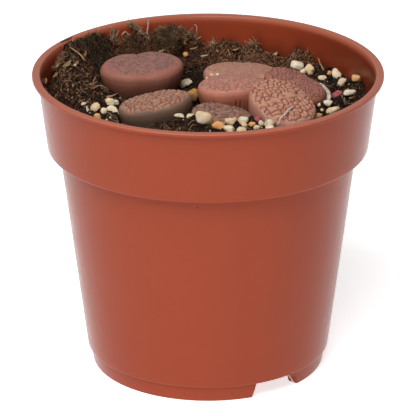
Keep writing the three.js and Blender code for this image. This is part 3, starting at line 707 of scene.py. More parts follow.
def leafSkin(plant, number):
    # the waxy, fleshy skin of living stones, grown: matte, faintly see-through, with rust-coloured
    # furrows, paler islands, dusky dots that let in light, sides that darken into the mix, and painted
    # shade in the cleft's slit and in the deep creases
    material, tree, shader, spot = newMaterial(f"living stone skin {number + 1}", {
        "Roughness": 0.58, "IOR": 1.42, "Subsurface Weight": 0.12, "Subsurface Scale": 0.8 * mm,
        "Subsurface Radius": (1.0, 0.4, 0.25), "Specular IOR Level": 0.35,
    })
    read = {title: addNode(tree, "Attribute", {"attribute_name": title}, {}, attributeNumber)
            for title in ("furrow", "island", "margin", "down", "strip", "slit", "crease")}
    # clouds about 3.5 mm wide, dots about half as wide as they are apart, pores 0.4 mm apart
    read["cloud"] = addNode(tree, "TexNoise", {},
                            {"Vector": spot, "Scale": perMm(3.5), "Detail": 4, "Roughness": 0.6})
    # the dots' places are pushed about, which makes blotches of them
    swirl = addNode(tree, "TexNoise", {}, {"Vector": spot, "Scale": perMm(0.9), "Detail": 2}, 1)
    push = addNode(tree, "VectorMath", {"operation": "SCALE"}, {0: swirl, "Scale": 1.6 * mm})
    pushed = addNode(tree, "VectorMath", {"operation": "ADD"}, {0: spot, 1: push})
    read["dots"] = addNode(tree, "TexVoronoi", {}, {"Vector": pushed, "Scale": perMm(plant["dotSize"])})
    pores = addNode(tree, "TexNoise", {}, {"Vector": spot, "Scale": perMm(0.4), "Detail": 2})
    # each layer: its colour, what steers it, where that starts and ends, and its strongest share
    layers = [
        ("island", "island", 0, 1, 1), ("margin", "cloud", 0.4, 0.7, 0.6),
        ("dot", "dots", 0.6, 0.2, plant["dots"]), ("margin", "margin", 0, 1, 1),
        ("side", "down", 0.8, 4, 1), ("low", "down", 3, 8, 1), ("margin", "strip", 0.3, 1, 0.4),
        # the furrow colour on the slit and the low colour on the creases are painted shade in these
        # recesses
        ("furrow", "furrow", 0.1, 1, 1), ("furrow", "slit", 0, 1, 1), ("low", "crease", 0, 0.7, 1),
    ]
    skin = colour(plant["face"])
    for title, guide, start, end, strongest in layers:
        share = addNode(tree, "MapRange", {}, {"Value": read[guide], "From Min": start, "From Max": end,
                                               "To Max": strongest})
        skin = addNode(tree, "Mix", mixKind, {0: share, 6: skin, 7: colour(plant[title])}, mixedColour)
    grey = addNode(tree, "CombineColor", {}, {0: pores, 1: pores, 2: pores})
    skin = addNode(tree, "Mix", {**mixKind, "blend_type": "OVERLAY"}, {0: 0.25, 6: skin, 7: grey},
                   mixedColour)
    bump = addNode(tree, "Bump", {}, {"Strength": 0.35, "Distance": 0.08 * mm, "Height": pores})
    feed(tree, shader, {"Base Color": skin, "Normal": bump})
    return material


def makePlants():
    for number, plant in enumerate(plants):
        points, faceSets, values = bodySkin(plant, number)
        name = f"lithops_{number + 1}"
        piece = newPiece(name + "_skin", points, faceSets, leafSkin(plant, number), values)
        place(piece, "leaf_skin", name)


# Dry sheath

# The body it stands round, its two ends in degrees, its foot and top as depths below the face, how
# far it stands off and bows out, the width of its rolled rim, how deep it is torn, and the length
# that its tears and waves run along; then the darker torn edge inside it.
sheathSetting = {"plant": 5, "start": 8, "end": 98, "low": -7.4, "top": -1.2, "steps": 150, "rows": 16,
                 "away": 0.25, "bow": 0.45, "thickness": 0.2, "rim": 1.15, "tatter": 0.3, "length": 12,
                 "seed": 91, "light": "#d3c8ba", "dark": "#9c8b7a", "clearness": 0.3}
tornSetting = {"plant": 5, "start": 30, "end": 84, "low": -4.5, "top": -1.5, "steps": 110, "rows": 10,
               "away": 0.1, "bow": 0.35, "thickness": 0.16, "rim": 0.0, "tatter": 1.2, "length": 12,
               "seed": 95, "light": "#6b2f24", "dark": "#3d1b14", "clearness": 0.1}


def driedLeaf(name, s):
    # last year's leaf dried to paper: matte, wrinkled lengthwise, thin enough to let light through
    material, tree, shader, spot = newMaterial(name, {
        "Roughness": 0.75, "Specular IOR Level": 0.25, "Subsurface Weight": s["clearness"],
        "Subsurface Scale": 0.5 * mm, "Subsurface Radius": (1.0, 0.8, 0.6),
    })
    wrinkle = addNode(tree, "TexNoise", {},
                      {"Vector": spot, "Scale": perMm(0.9), "Detail": 4, "Distortion": 0.6})
    share = addNode(tree, "MapRange", {}, {"Value": wrinkle, "From Min": 0.42, "From Max": 0.68})
    leaf = addNode(tree, "Mix", mixKind, {0: share, 6: colour(s["light"]), 7: colour(s["dark"])},
                   mixedColour)
    bump = addNode(tree, "Bump", {}, {"Strength": 0.5, "Distance": 0.12 * mm, "Height": wrinkle})
    feed(tree, shader, {"Base Color": leaf, "Normal": bump})
    return material


def sheathStrip(s):
    # round part of a body's outline; each section is a thin wall that rises, leans out and ends in
    # a roll, followed up its outside and down its inside
    plant, seed = plants[s["plant"]], s["seed"]
    tearSize, waveSize, wave = 1.6, 2.5, 0.15
    # the top is an arch, full along its middle, whose ends are cut off a little
    cutOff, fullness = 0.06, 0.4
    turn = np.linspace(0, 1, s["steps"])
    angle = np.radians(s["start"] + (s["end"] - s["start"]) * turn)
    line = np.stack([s["length"] * turn, 0 * turn, 0 * turn], -1)
    tear = s["tatter"] * (0.5 + 0.5 * layeredNoise(line, tearSize, seed))
    arch = np.sin(math.pi * (cutOff + (1 - 2 * cutOff) * turn)) ** fullness
    top = s["low"] + (s["top"] - s["low"]) * arch - tear
    rise = np.linspace(0, 1, s["rows"])[:, None]
    bow = s["away"] + s["bow"] * rise**2 + wave * layeredNoise(line + (0, 3, 0), waveSize, seed + 1)
    height = s["low"] + (top - s["low"]) * rise
    if s["rim"]:
        # a roll of about two thirds of a turn
        curl = np.linspace(0, 1.35 * math.pi, s["rows"])[1:, None]
        swell = s["rim"] * (1 + wave * layeredNoise(line, tearSize, seed + 2)) / 2
        bow = np.vstack([bow, bow[-1] + swell * (1 - np.cos(curl))])
        height = np.vstack([height, height[-1] + swell * np.sin(curl)])
    ahead = np.stack([np.gradient(bow, axis=0), np.gradient(height, axis=0)], -1)
    ahead /= np.linalg.norm(ahead, axis=-1, keepdims=True) + 1e-9
    bow = np.vstack([bow + s["thickness"] * ahead[..., 1], bow[::-1]])
    height = np.vstack([height - s["thickness"] * ahead[..., 0], height[::-1]])
    reach = [half * plantWaist(angle) + bow for half in plant["half"]]
    rows = np.stack([reach[0] * np.cos(angle), reach[1] * np.sin(angle), height], -1)
    points, faceSets = closedSkin(rows.transpose(1, 0, 2))
    return points @ plantAxes(plant) + plant["at"], faceSets


def makeSheath():
    paper = driedLeaf("dried leaf", sheathSetting)
    place(newPiece("dry_sheath_leaf", *sheathStrip(sheathSetting), paper), "dry_leaf", "dry_sheath")
    torn = driedLeaf("torn leaf edge", tornSetting)
    place(newPiece("torn_leaf_edge", *sheathStrip(tornSetting), torn), "dry_leaf")


# Potting mix

mixShape = {
    "level": 80.8, "highest": 91.8, "crumbHeight": 0.4, "mostRise": 0.7,
    # share, seed, spacing and count of the waves that stand for crumbs, and how much coarser they
    # are for each millimetre of a heap
    "waves": [(1, 7, 11, 5), (0.8, 8, 6.5, 6)], "coarser": 0.12,
    # height and size of the rough ground, and of the coarse and the fine crumbs on it
    "rough": (0.6, 3.2), "crumbs": [(1.0, 1.3), (0.6, 0.7)],
    # depth and reach of the crevice round each body; depth of the hollow under each stone, how far
    # up and out from the mix the stone is looked for, and where the hollow starts and is full
    "dipDepth": 0.9, "dipReach": 1.3, "stoneDip": 0.7, "lookUp": 0.8, "lookOut": 0.5,
    "hollow": (1.2, 0.8),
    # which heights over the smooth ground take the crumbs' colour, lower ground taking the near-black
    # painted shade of the crevices, and where the grid, as a share of its radius, starts to follow the wall
    "raised": (-0.6, 0.5), "edgeStart": 0.8,
    # the grid's steps, the height where its disc is measured, and the gaps to the wall and the floor
    "gridSteps": 296, "gridHeight": 86, "wallGap": 0.15, "restGap": 0.35,
    # middle, height and spread of each heap, or dip where the height is negative
    "heaps": [(-38, 30, 8.0, 5.5), (-40.5, 27.5, 2.5, 3.0), (-32.5, 36, 7.5, 2.7), (-42.5, 24.5, 2.0, 2.6),
              (-43, 23, 3.0, 3.5), (-43, 15, 4.6, 6.5), (-43, 0, 4.2, 8), (-35, -12, 2.2, 8),
              (-22.5, 41, 4.0, 3.2), (-25.3, 40.8, 2.8, 1.9), (-14.5, 43, 4.6, 4.5), (3, 46, 2.8, 3.6),
              (14, 45, 2.8, 3.4), (29, 38, 2.6, 3.4), (-5, 18, -1.2, 5), (-7, -20.5, 3.6, 5),
              (9, -26.5, 4.3, 9), (35, -5, 2.0, 3.5), (46, 13, 2.4, 6)],
    # middle, spread and strength of the places of painted shade between and behind the bodies, where the
    # peat is darker
    "shadedPlaces": [(-22, 39, 6, 0.5), (-7.5, 39.7, 3.5, 0.8), (-4.4, 30.7, 4, 0.75), (-5.3, 21, 4, 0.75),
             (-35, 25, 4.5, 0.7), (-32.6, 30.6, 4.5, 0.65), (-33.5, 16.6, 2.5, 0.6), (-6.8, -21, 5.5, 0.72),
             (36, 28, 4, 0.45), (-40, 25, 3, 0.5)],
    "creviceShade": "#0d0a08", "creviceShadeBrown": "#1c130e", "crumbBrown": "#5a3d2c",
}


def bell(x, y, middleX, middleY, spread):
    # 1 at the middle, falling off all round it
    return np.exp(-((x - middleX) ** 2 + (y - middleY) ** 2) / (2 * spread * spread))


def mixHeight(x, y):
    # the level, plus round heaps, plus crumbs that are coarser on the heaps
    heap = sum(high * bell(x, y, cx, cy, spread) for cx, cy, high, spread in mixShape["heaps"])
    crumbs = sum(share * mazeWaves(x, y, seed=seed, spacing=spacing, count=count)
                 for share, seed, spacing, count in mixShape["waves"])
    z = mixShape["level"] + heap + mixShape["crumbHeight"] * crumbs * (1 + mixShape["coarser"] * heap)
    return np.minimum(z, mixShape["highest"])


def paintedShadeAt(x, y):
    # 0 where there is no painted shade, up to the strength of the darkest shaded place near the point
    return np.max([strength * bell(x, y, cx, cy, spread) for cx, cy, spread, strength in mixShape["shadedPlaces"]],
                  axis=0)


def stoneReach(points, spare):
    # how far each point lies from the middle of the nearest stone, as a share of that stone's size
    least = np.full(points.shape[:-1], 9.0)
    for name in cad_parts:
        if name.startswith("grit_"):
            low, high = stoneBox(name)
            apart = (points - (low + high) / 2) / ((high - low) / 2 + spare)
            least = np.minimum(least, np.linalg.norm(apart, axis=-1))
    return least


def mixTop(x, y):
    # mixHeight with rough crumbs, a crevice round each body and a hollow under each stone
    m, z = mixShape, mixHeight(x, y)
    flat = np.stack([x, y, 0 * x], -1)
    height, size = m["rough"]
    rough = height * layeredNoise(flat, size, 11)
    crumbs = sum(height * (0.5 - np.abs(softNoise(flat, size, 15 + i)))
                 for i, (height, size) in enumerate(m["crumbs"]))
    beside = np.maximum(plantDistance(np.stack([x, y, z], -1)), 0)
    dip = m["dipDepth"] * np.exp(-(beside / m["dipReach"]) ** 2)
    stone = stoneReach(np.stack([x, y, z + m["lookUp"]], -1), m["lookOut"])
    dip += m["stoneDip"] * fade(stone, *m["hollow"])
    return z + np.minimum(rough + crumbs, m["mostRise"]) - dip


def peatSoil():
    # black and brown peat with bark dust, loose: crevices near black as painted shade, crumbs brown, no
    # gloss
    surface = {"Roughness": 0.95, "Specular IOR Level": 0.12}
    material, tree, shader, spot = newMaterial("peat potting mix", surface)
    raised = addNode(tree, "Attribute", {"attribute_name": "raised"}, {}, attributeNumber)
    fine = addNode(tree, "TexNoise", {},
                   {"Vector": spot, "Scale": perMm(0.9), "Detail": 6, "Roughness": 0.75})
    broad = addNode(tree, "TexNoise", {}, {"Vector": spot, "Scale": perMm(9), "Detail": 3})
    share = addNode(tree, "MapRange", {}, {"Value": fine, "From Min": 0.46, "From Max": 0.68})
    share = addNode(tree, "Math", {"operation": "MULTIPLY"}, {0: share, 1: raised})
    # the crevice colours are painted shade on the lower ground
    dark, brown = colour(mixShape["creviceShade"]), colour(mixShape["creviceShadeBrown"])
    low = addNode(tree, "Mix", mixKind, {0: broad, 6: dark, 7: brown}, mixedColour)
    soil = addNode(tree, "Mix", mixKind, {0: share, 6: low, 7: colour(mixShape["crumbBrown"])},
                   mixedColour)
    bump = addNode(tree, "Bump", {}, {"Strength": 0.9, "Distance": 0.35 * mm, "Height": fine})
    feed(tree, shader, {"Base Color": soil, "Normal": bump})
    return material


def makeMix():
    # a square grid drawn in to a disc, then a side wall down to the pot's floor
    n = mixShape["gridSteps"]
    v, u = np.meshgrid(np.linspace(-1, 1, n), np.linspace(-1, 1, n), indexing="ij")
    discX, discY = u * np.sqrt(1 - v * v / 2), v * np.sqrt(1 - u * u / 2)
    reach = innerRadius(mixShape["gridHeight"]) - mixShape["wallGap"]
    x, y = discX * reach, discY * reach
    z = mixTop(x.ravel(), y.ravel()).reshape(x.shape)
    fit = (innerRadius(z) - mixShape["wallGap"]) / reach
    edge = fade(np.hypot(discX, discY), mixShape["edgeStart"], 1.0)
    x, y = x * (1 + (fit - 1) * edge), y * (1 + (fit - 1) * edge)
    top = np.stack([x, y, z], -1).reshape(-1, 3)
    # lower ground keeps the crevices' painted shade, and the shaded places darken it further
    raised = (fade(z - mixHeight(x, y), *mixShape["raised"]) * (1 - paintedShadeAt(x, y))).ravel()
    index = np.arange(n * n).reshape(n, n)
    rim = np.concatenate([index[0, :-1], index[:-1, -1], index[-1, :0:-1], index[:0:-1, 0]])
    heading = top[rim, :2] / np.linalg.norm(top[rim, :2], axis=1, keepdims=True)
    gap = mixShape["restGap"]
    # rings of the side wall: the height that gives the pot's inner radius, and their own height
    lower = [(ledgeTop, ledgeTop + gap), (ledgeTop - 1, ledgeTop), (floorTop, floorTop + gap)]
    walls = [np.column_stack([heading * (float(innerRadius(at)) - gap), np.full(len(rim), height)])
             for at, height in lower]
    points = np.vstack([top, *walls, [[0, 0, floorTop + gap]]])
    rings = [rim] + [n * n + len(rim) * i + np.arange(len(rim)) for i in range(len(lower))]
    faceSets = [gridFaces(n, n, False)]
    for upper, under in zip(rings, rings[1:]):
        faceSets.append(np.stack([under, np.roll(under, -1), np.roll(upper, -1), upper], -1))
    faceSets.append(fanFaces(rings[-1][::-1], len(points) - 1))
    raised = np.concatenate([raised, np.zeros(len(points) - len(top))])
    place(newPiece("peat_bed", points, faceSets, peatSoil(), {"raised": raised}), "peat", "potting_mix")


# Grit and bark chip

# grow and lift: how much larger than its node's box each stone is, and how much higher it lies;
# facets and softness: the flats of a stone and how sharply they meet; sunk: stones that lie lower;
# leans: stones that lie tilted, as degrees to the right of level; nearest and furthest: how far
# from the middle a flat and a corner may lie; stretch: how much longer a tilted stone is
gritSetting = {
    "rows": 15, "columns": 24, "facets": 17, "softness": 9, "grow": 1.27, "lift": 0.3,
    "nearest": 0.72, "furthest": 1.25, "roughSize": 0.55, "stretch": 0.6,
    "sunk": {"grit_red_2": 0.6},
    "larger": {"grit_red_2": 1.35, "grit_cream_3": 1.15, "grit_cream_2": 1.1, "grit_amber_3": 1.12,
               "grit_white_5": 1.12, "grit_cream_18": 1.1, "grit_cream_17": 1.08},
    "leans": {"grit_white_2": 25, "grit_cream_7": -32, "grit_cream_2": 70, "grit_white_6": -18,
              "grit_amber_7": -20},
}


def stoneSkin(low, high, seed, facets, softness, lean=0, roughness=0.09):
    # directions on a ball; the reach in each is the soft minimum over planes set round it,
    # then stretched to fill the box
    draw, s = np.random.default_rng(seed), gritSetting
    facing = ballDirections(s["rows"], s["columns"])
    planes = draw.normal(size=(facets, 3))
    planes /= np.linalg.norm(planes, axis=1, keepdims=True) * draw.uniform(s["nearest"], 1, (facets, 1))
    towards = np.maximum(facing @ planes.T, 0)
    reach = (towards**softness).sum(-1) ** (-1 / softness)
    ball = facing * np.minimum(reach, s["furthest"])[..., None]
    ball *= 1 + roughness * layeredNoise(ball + seed, s["roughSize"], seed)[..., None]
    if lean:
        # longer along a slanting line
        slant = np.array([math.cos(math.radians(lean)), 0, math.sin(math.radians(lean))])
        ball += s["stretch"] * (ball @ slant)[..., None] * slant
    points, faceSets = closedSkin(ball)
    least, most = points.min(0), points.max(0)
    return low + (points - least) / (most - least) * (high - low), faceSets


def nodeBox(node, grow=1.0, lift=0.0):
    # the two corners of a frame node's box in millimetres, grown about its middle
    low, high = (np.array(corner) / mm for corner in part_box(node))
    middle, half = (low + high) / 2 + (0, 0, lift), (high - low) / 2 * grow
    return middle - half, middle + half


def stoneBox(node):
    # the box that a stone of the grit fills
    s = gritSetting
    return nodeBox(node, s["grow"] * s["larger"].get(node, 1), s["lift"] - s["sunk"].get(node, 0))


def naturalGrit(name, light, dark, vein, clearness):
    # washed river grit, tumbled by nature: dusty and matte, each grain its own tint
    material, tree, shader, spot = newMaterial(name, {
        "Roughness": 0.7, "IOR": 1.5, "Subsurface Weight": clearness, "Subsurface Scale": 0.9 * mm,
        "Subsurface Radius": (1.0, 0.7, 0.4),
    })
    # one tint for each grain: a pattern coarser than the grains
    tint = addNode(tree, "TexNoise", {}, {"Vector": spot, "Scale": perMm(3.6), "Detail": 1})
    share = addNode(tree, "MapRange", {}, {"Value": tint, "From Min": 0.35, "From Max": 0.65})
    stone = addNode(tree, "Mix", mixKind, {0: share, 6: colour(light), 7: colour(dark)}, mixedColour)
    cloud = addNode(tree, "TexNoise", {},
                    {"Vector": spot, "Scale": perMm(0.9), "Detail": 5, "Roughness": 0.65})
    share = addNode(tree, "MapRange", {}, {"Value": cloud, "From Min": 0.52, "From Max": 0.72,
                                           "To Max": 0.55})
    stone = addNode(tree, "Mix", mixKind, {0: share, 6: stone, 7: colour(vein)}, mixedColour)
    bump = addNode(tree, "Bump", {}, {"Strength": 0.5, "Distance": 0.1 * mm, "Height": cloud})
    feed(tree, shader, {"Base Color": stone, "Normal": bump})
    return material


# light, dark and vein colours, and how much light each kind lets in
gritKinds = {
    "cream": ("#f0dfbf", "#dfc096", "#bf9461", 0.12), "white": ("#efe3cb", "#e0ceac", "#bca582", 0.18),
    "amber": ("#e6a05a", "#e0b67c", "#ae7038", 0.25), "red": ("#9c3a40", "#aa5256", "#b98478", 0.12),
}


def makeGrit():
    s = gritSetting
    for kind, (light, dark, vein, clearness) in gritKinds.items():
        material = naturalGrit(kind + " river grit", light, dark, vein, clearness)
        names = [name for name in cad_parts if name.startswith("grit_" + kind)]
        for number in sorted(int(name.rsplit("_", 1)[1]) for name in names):
            name = f"grit_{kind}_{number}"
            seed = 1000 * len(kind) + number
            skin = stoneSkin(*stoneBox(name), seed, s["facets"], s["softness"], s["leans"].get(name, 0))
            place(newPiece(name + "_stone", *skin, material), "grit_" + kind, name)


# towards its left and its top, where the light falls, the chip is painted more amber by these shares:
# painted light on its lit side
chipSetting = {"grow": 1.12, "seed": 77, "facets": 16, "softness": 8, "roughness": 0.16,
               "rotted": "#3c2415", "fresh": "#b08149", "litLeftShare": 0.6, "litTopShare": 0.9}


def pineBark():
    # composted pine bark, broken: amber where a flake is fresh, dark brown where it rotted, matte; on the
    # chip the amber also stands for painted light on its lit side
    surface = {"Roughness": 0.85, "Specular IOR Level": 0.2}
    material, tree, shader, spot = newMaterial("pine bark", surface)
    fresh = addNode(tree, "Attribute", {"attribute_name": "fresh"}, {}, attributeNumber)
    cloud = addNode(tree, "TexNoise", {}, {"Vector": spot, "Scale": perMm(1.6), "Detail": 5})
    mixed = addNode(tree, "Math", {"operation": "ADD"}, {0: cloud, 1: fresh})
    share = addNode(tree, "MapRange", {}, {"Value": mixed, "From Min": 0.62, "From Max": 1.25})
    rotted, amber = colour(chipSetting["rotted"]), colour(chipSetting["fresh"])
    bark = addNode(tree, "Mix", mixKind, {0: share, 6: rotted, 7: amber}, mixedColour)
    bump = addNode(tree, "Bump", {}, {"Strength": 0.5, "Distance": 0.2 * mm, "Height": cloud})
    feed(tree, shader, {"Base Color": bark, "Normal": bump})
    return material


def makeChip():
    # a stone's shape, rougher
    s = chipSetting
    low, high = nodeBox("bark_chip", s["grow"])
    points, faceSets = stoneSkin(low, high, s["seed"], s["facets"], s["softness"],
                                 roughness=s["roughness"])
    across = (points - low) / (high - low)
    # painted light: the top and left, where the light falls, are painted more amber
    fresh = 0.5 - s["litLeftShare"] * (across[:, 0] - 0.5) + s["litTopShare"] * (across[:, 2] - 0.6)
    fresh = np.clip(fresh, 0, 1)
    place(newPiece("bark_flake", points, faceSets, pineBark(), {"fresh": fresh}), "bark", "bark_chip")


# Fibres, flakes, crumbs and moss

# tint runs from black at 0 over brown and straw to bleached at 1.3, and green from 0 to 1
fibreColours = {"black": "#0f0a08", "green": "#746e4c",
                "tints": [(0, 0.5, "#70462f"), (0.5, 1, "#b08a67"), (1, 1.3, "#ebe5d9")]}


def plantFibre():
    # dead roots, sedge and sphagnum: dry, matte fibres from near black to straw, some mossy green
    surface = {"Roughness": 0.85, "Specular IOR Level": 0.2}
    material, tree, shader, spot = newMaterial("peat fibre", surface)
    tint, green = (addNode(tree, "Attribute", {"attribute_name": title}, {}, attributeNumber)
                   for title in ("tint", "green"))
    fibre = colour(fibreColours["black"])
    for start, end, code in fibreColours["tints"]:
        share = addNode(tree, "MapRange", {}, {"Value": tint, "From Min": start, "From Max": end})
        fibre = addNode(tree, "Mix", mixKind, {0: share, 6: fibre, 7: colour(code)}, mixedColour)
    moss = colour(fibreColours["green"])
    fibre = addNode(tree, "Mix", mixKind, {0: green, 6: fibre, 7: moss}, mixedColour)
    mottle = addNode(tree, "TexNoise", {}, {"Vector": spot, "Scale": perMm(0.6), "Detail": 3})
    shade = addNode(tree, "MapRange", {}, {"Value": mottle, "From Min": 0.3, "From Max": 0.7,
                                           "To Min": 0.6, "To Max": 1.25})
    shade = addNode(tree, "CombineColor", {}, {0: shade, 1: shade, 2: shade})
    fibre = addNode(tree, "Mix", {**mixKind, "blend_type": "MULTIPLY"}, {0: 1.0, 6: fibre, 7: shade},
                    mixedColour)
    feed(tree, shader, {"Base Color": fibre})
    return material


# in millimetres: the circle on the mix where things lie, the height that no strand rises above, how
# far strands keep off bodies, stones and wall, and how far their ends are sunk; as shares: how much
# a strand's rise waves, which part of an arch it makes, and how much it thins towards its ends
strandForm = {"circle": 48.5, "ceiling": 92.6, "clearance": 0.2, "sunk": 0.15, "steps": 7,
              "wave": 0.25, "arch": (0.6, 1), "taper": 0.6}


def scattered(draw, count, spots):
    # places on the mix: round the given spots (x, y, spread, weight), or all over it
    if spots is None:
        radius, angle = strandForm["circle"] * np.sqrt(draw.random(count)), fullTurn * draw.random(count)
        return radius * np.cos(angle), radius * np.sin(angle)
    spots = np.array(spots, float)
    which = draw.choice(len(spots), count, p=spots[:, 3] / spots[:, 3].sum())
    return (spots[which, 0] + spots[which, 2] * draw.normal(size=count),
            spots[which, 1] + spots[which, 2] * draw.normal(size=count))


def clearOf(points, spare):
    # true for the points that stay outside the bodies and stones and inside the pot's wall
    room = innerRadius(points[..., 2]) - np.hypot(points[..., 0], points[..., 1])
    return (plantDistance(points) > spare) & (room > spare) & (stoneReach(points, 0.1) > 1)


def shades(draw, setting, x, y):
    # tint and green of the things at these places: a high power makes most of them dull, and
    # painted shade darkens them in the shaded places
    dullest, brightest = setting["tint"]
    tint = dullest + (brightest - dullest) * draw.random(len(x)) ** setting["power"]
    return tint * (1 - paintedShadeAt(x, y)), draw.uniform(*setting["green"], len(x))


def groundStrands(setting):
    # each strand wanders over the mix: its heading drifts, and it rises in an arch and dips again
    draw = np.random.default_rng(setting["seed"])
    count, form = setting["count"], strandForm
    x, y = scattered(draw, count, setting["spots"])
    length = draw.uniform(*setting["length"], count)
    t = np.linspace(0, 1, form["steps"])
    drift = np.cumsum(draw.normal(0, setting["curl"], (count, len(t))), 1) / math.sqrt(len(t))
    if "heading" in setting:
        way, spread = setting["heading"]
        start = draw.normal(way, spread, (count, 1))
    else:
        start = fullTurn * draw.random((count, 1))
    heading = start + drift + draw.normal(0, setting["curl"], (count, 1)) * t
    step = (length / (len(t) - 1))[:, None]
    px = x[:, None] + np.cumsum(np.cos(heading), 1) * step
    py = y[:, None] + np.cumsum(np.sin(heading), 1) * step
    lift = draw.uniform(*setting["lift"], (count, 1))
    wave = draw.normal(0, form["wave"], (count, 1)) * np.sin(fullTurn * t + 6 * draw.random((count, 1)))
    rise = lift * (np.sin(math.pi * t * draw.uniform(*form["arch"], (count, 1))) + wave) - form["sunk"]
    pz = mixTop(px.ravel(), py.ravel()).reshape(px.shape) + rise
    paths = np.stack([px, py, pz], -1)
    keep = clearOf(paths, form["clearance"]).all(1) & (pz.max(1) < form["ceiling"])
    radii = draw.uniform(*setting["radius"], (count, 1)) * (1 - form["taper"] * np.abs(2 * t - 1) ** 3)
    tint, green = shades(draw, setting, x, y)
    return paths[keep], radii[keep], tint[keep], green[keep]


# heading: the way that most strands of a group lie, in radians, and its spread
nestSpots = [(-40, 20, 4.5, 3), (-41, 8, 5, 4), (-38, -2, 4, 3), (-33, 4, 2.5, 1.5)]
backSpots = [(1, 40, 5, 3), (12, 38, 5, 3), (25, 33, 4.5, 2), (-8, 38, 2.5, 1), (-24, 36, 4, 2),
             (-16, 43, 4, 2)]
wallSpots = [(3, 45.5, 1.8, 2), (14, 45, 1.8, 2), (29, 38.5, 1.8, 2), (-7, 44, 2, 2), (-22, 41, 2, 2),
             (34, 32, 2, 1)]
strandGroups = [
    {"name": "peat_fibres", "seed": 1, "count": 2200, "length": (1.2, 4), "radius": (0.07, 0.16),
     "spots": None, "curl": 1.2, "lift": (0.0, 0.6), "tint": (0.0, 0.6), "power": 3, "green": (0, 0.05)},
    {"name": "nest_fibres", "seed": 2, "count": 1700, "length": (0.8, 2.3), "radius": (0.1, 0.24),
     "spots": nestSpots, "curl": 3.0, "lift": (0.1, 1.0), "tint": (0.0, 0.85), "power": 2.6,
     "green": (0, 0.04)},
    {"name": "heap_fibres", "seed": 3, "count": 900, "length": (1.5, 5), "radius": (0.08, 0.2),
     "spots": [(-38, 30, 4, 3), (-34, 34, 2.5, 2), (-30, 28, 3, 1), (-42, 23, 3, 1)],
     "curl": 1.6, "lift": (0.1, 1.2), "tint": (0.0, 0.65), "power": 2.8, "green": (0.0, 0.25)},
    {"name": "back_fibres", "seed": 4, "count": 1400, "length": (1.8, 6), "radius": (0.08, 0.2),
     "heading": (0, 0.7), "spots": backSpots, "curl": 1.0, "lift": (0.0, 1.1), "tint": (0.3, 0.78),
     "power": 1.0, "green": (0, 0.05)},
    {"name": "wall_clumps", "seed": 5, "count": 700, "length": (1.2, 3.5), "radius": (0.1, 0.24),
     "spots": wallSpots, "curl": 1.6, "lift": (0.2, 1.5), "tint": (0.1, 0.9), "power": 1.3,
     "green": (0, 0.2)},
    {"name": "pale_fibres", "seed": 6, "count": 420, "length": (2, 6), "radius": (0.05, 0.1),
     "spots": [(-28, -16, 4, 2), (-8, -22, 4.5, 6), (0, 36, 8, 2), (-38, 10, 6, 3), (38, 12, 6, 1.5),
               (-26, 38, 4, 2), (12, -28, 5, 1.5)],
     "curl": 1.2, "lift": (0.2, 1.2), "tint": (0.7, 1.2), "power": 1, "green": (0, 0.1)},
]


def makeFibres(material):
    for group in strandGroups:
        paths, radii, tint, green = groundStrands(group)
        points, faceSets = tubes(paths, radii)
        values = repeated(points, tint=tint, green=green)
        place(newPiece(group["name"], points, faceSets, material, values), "peat")
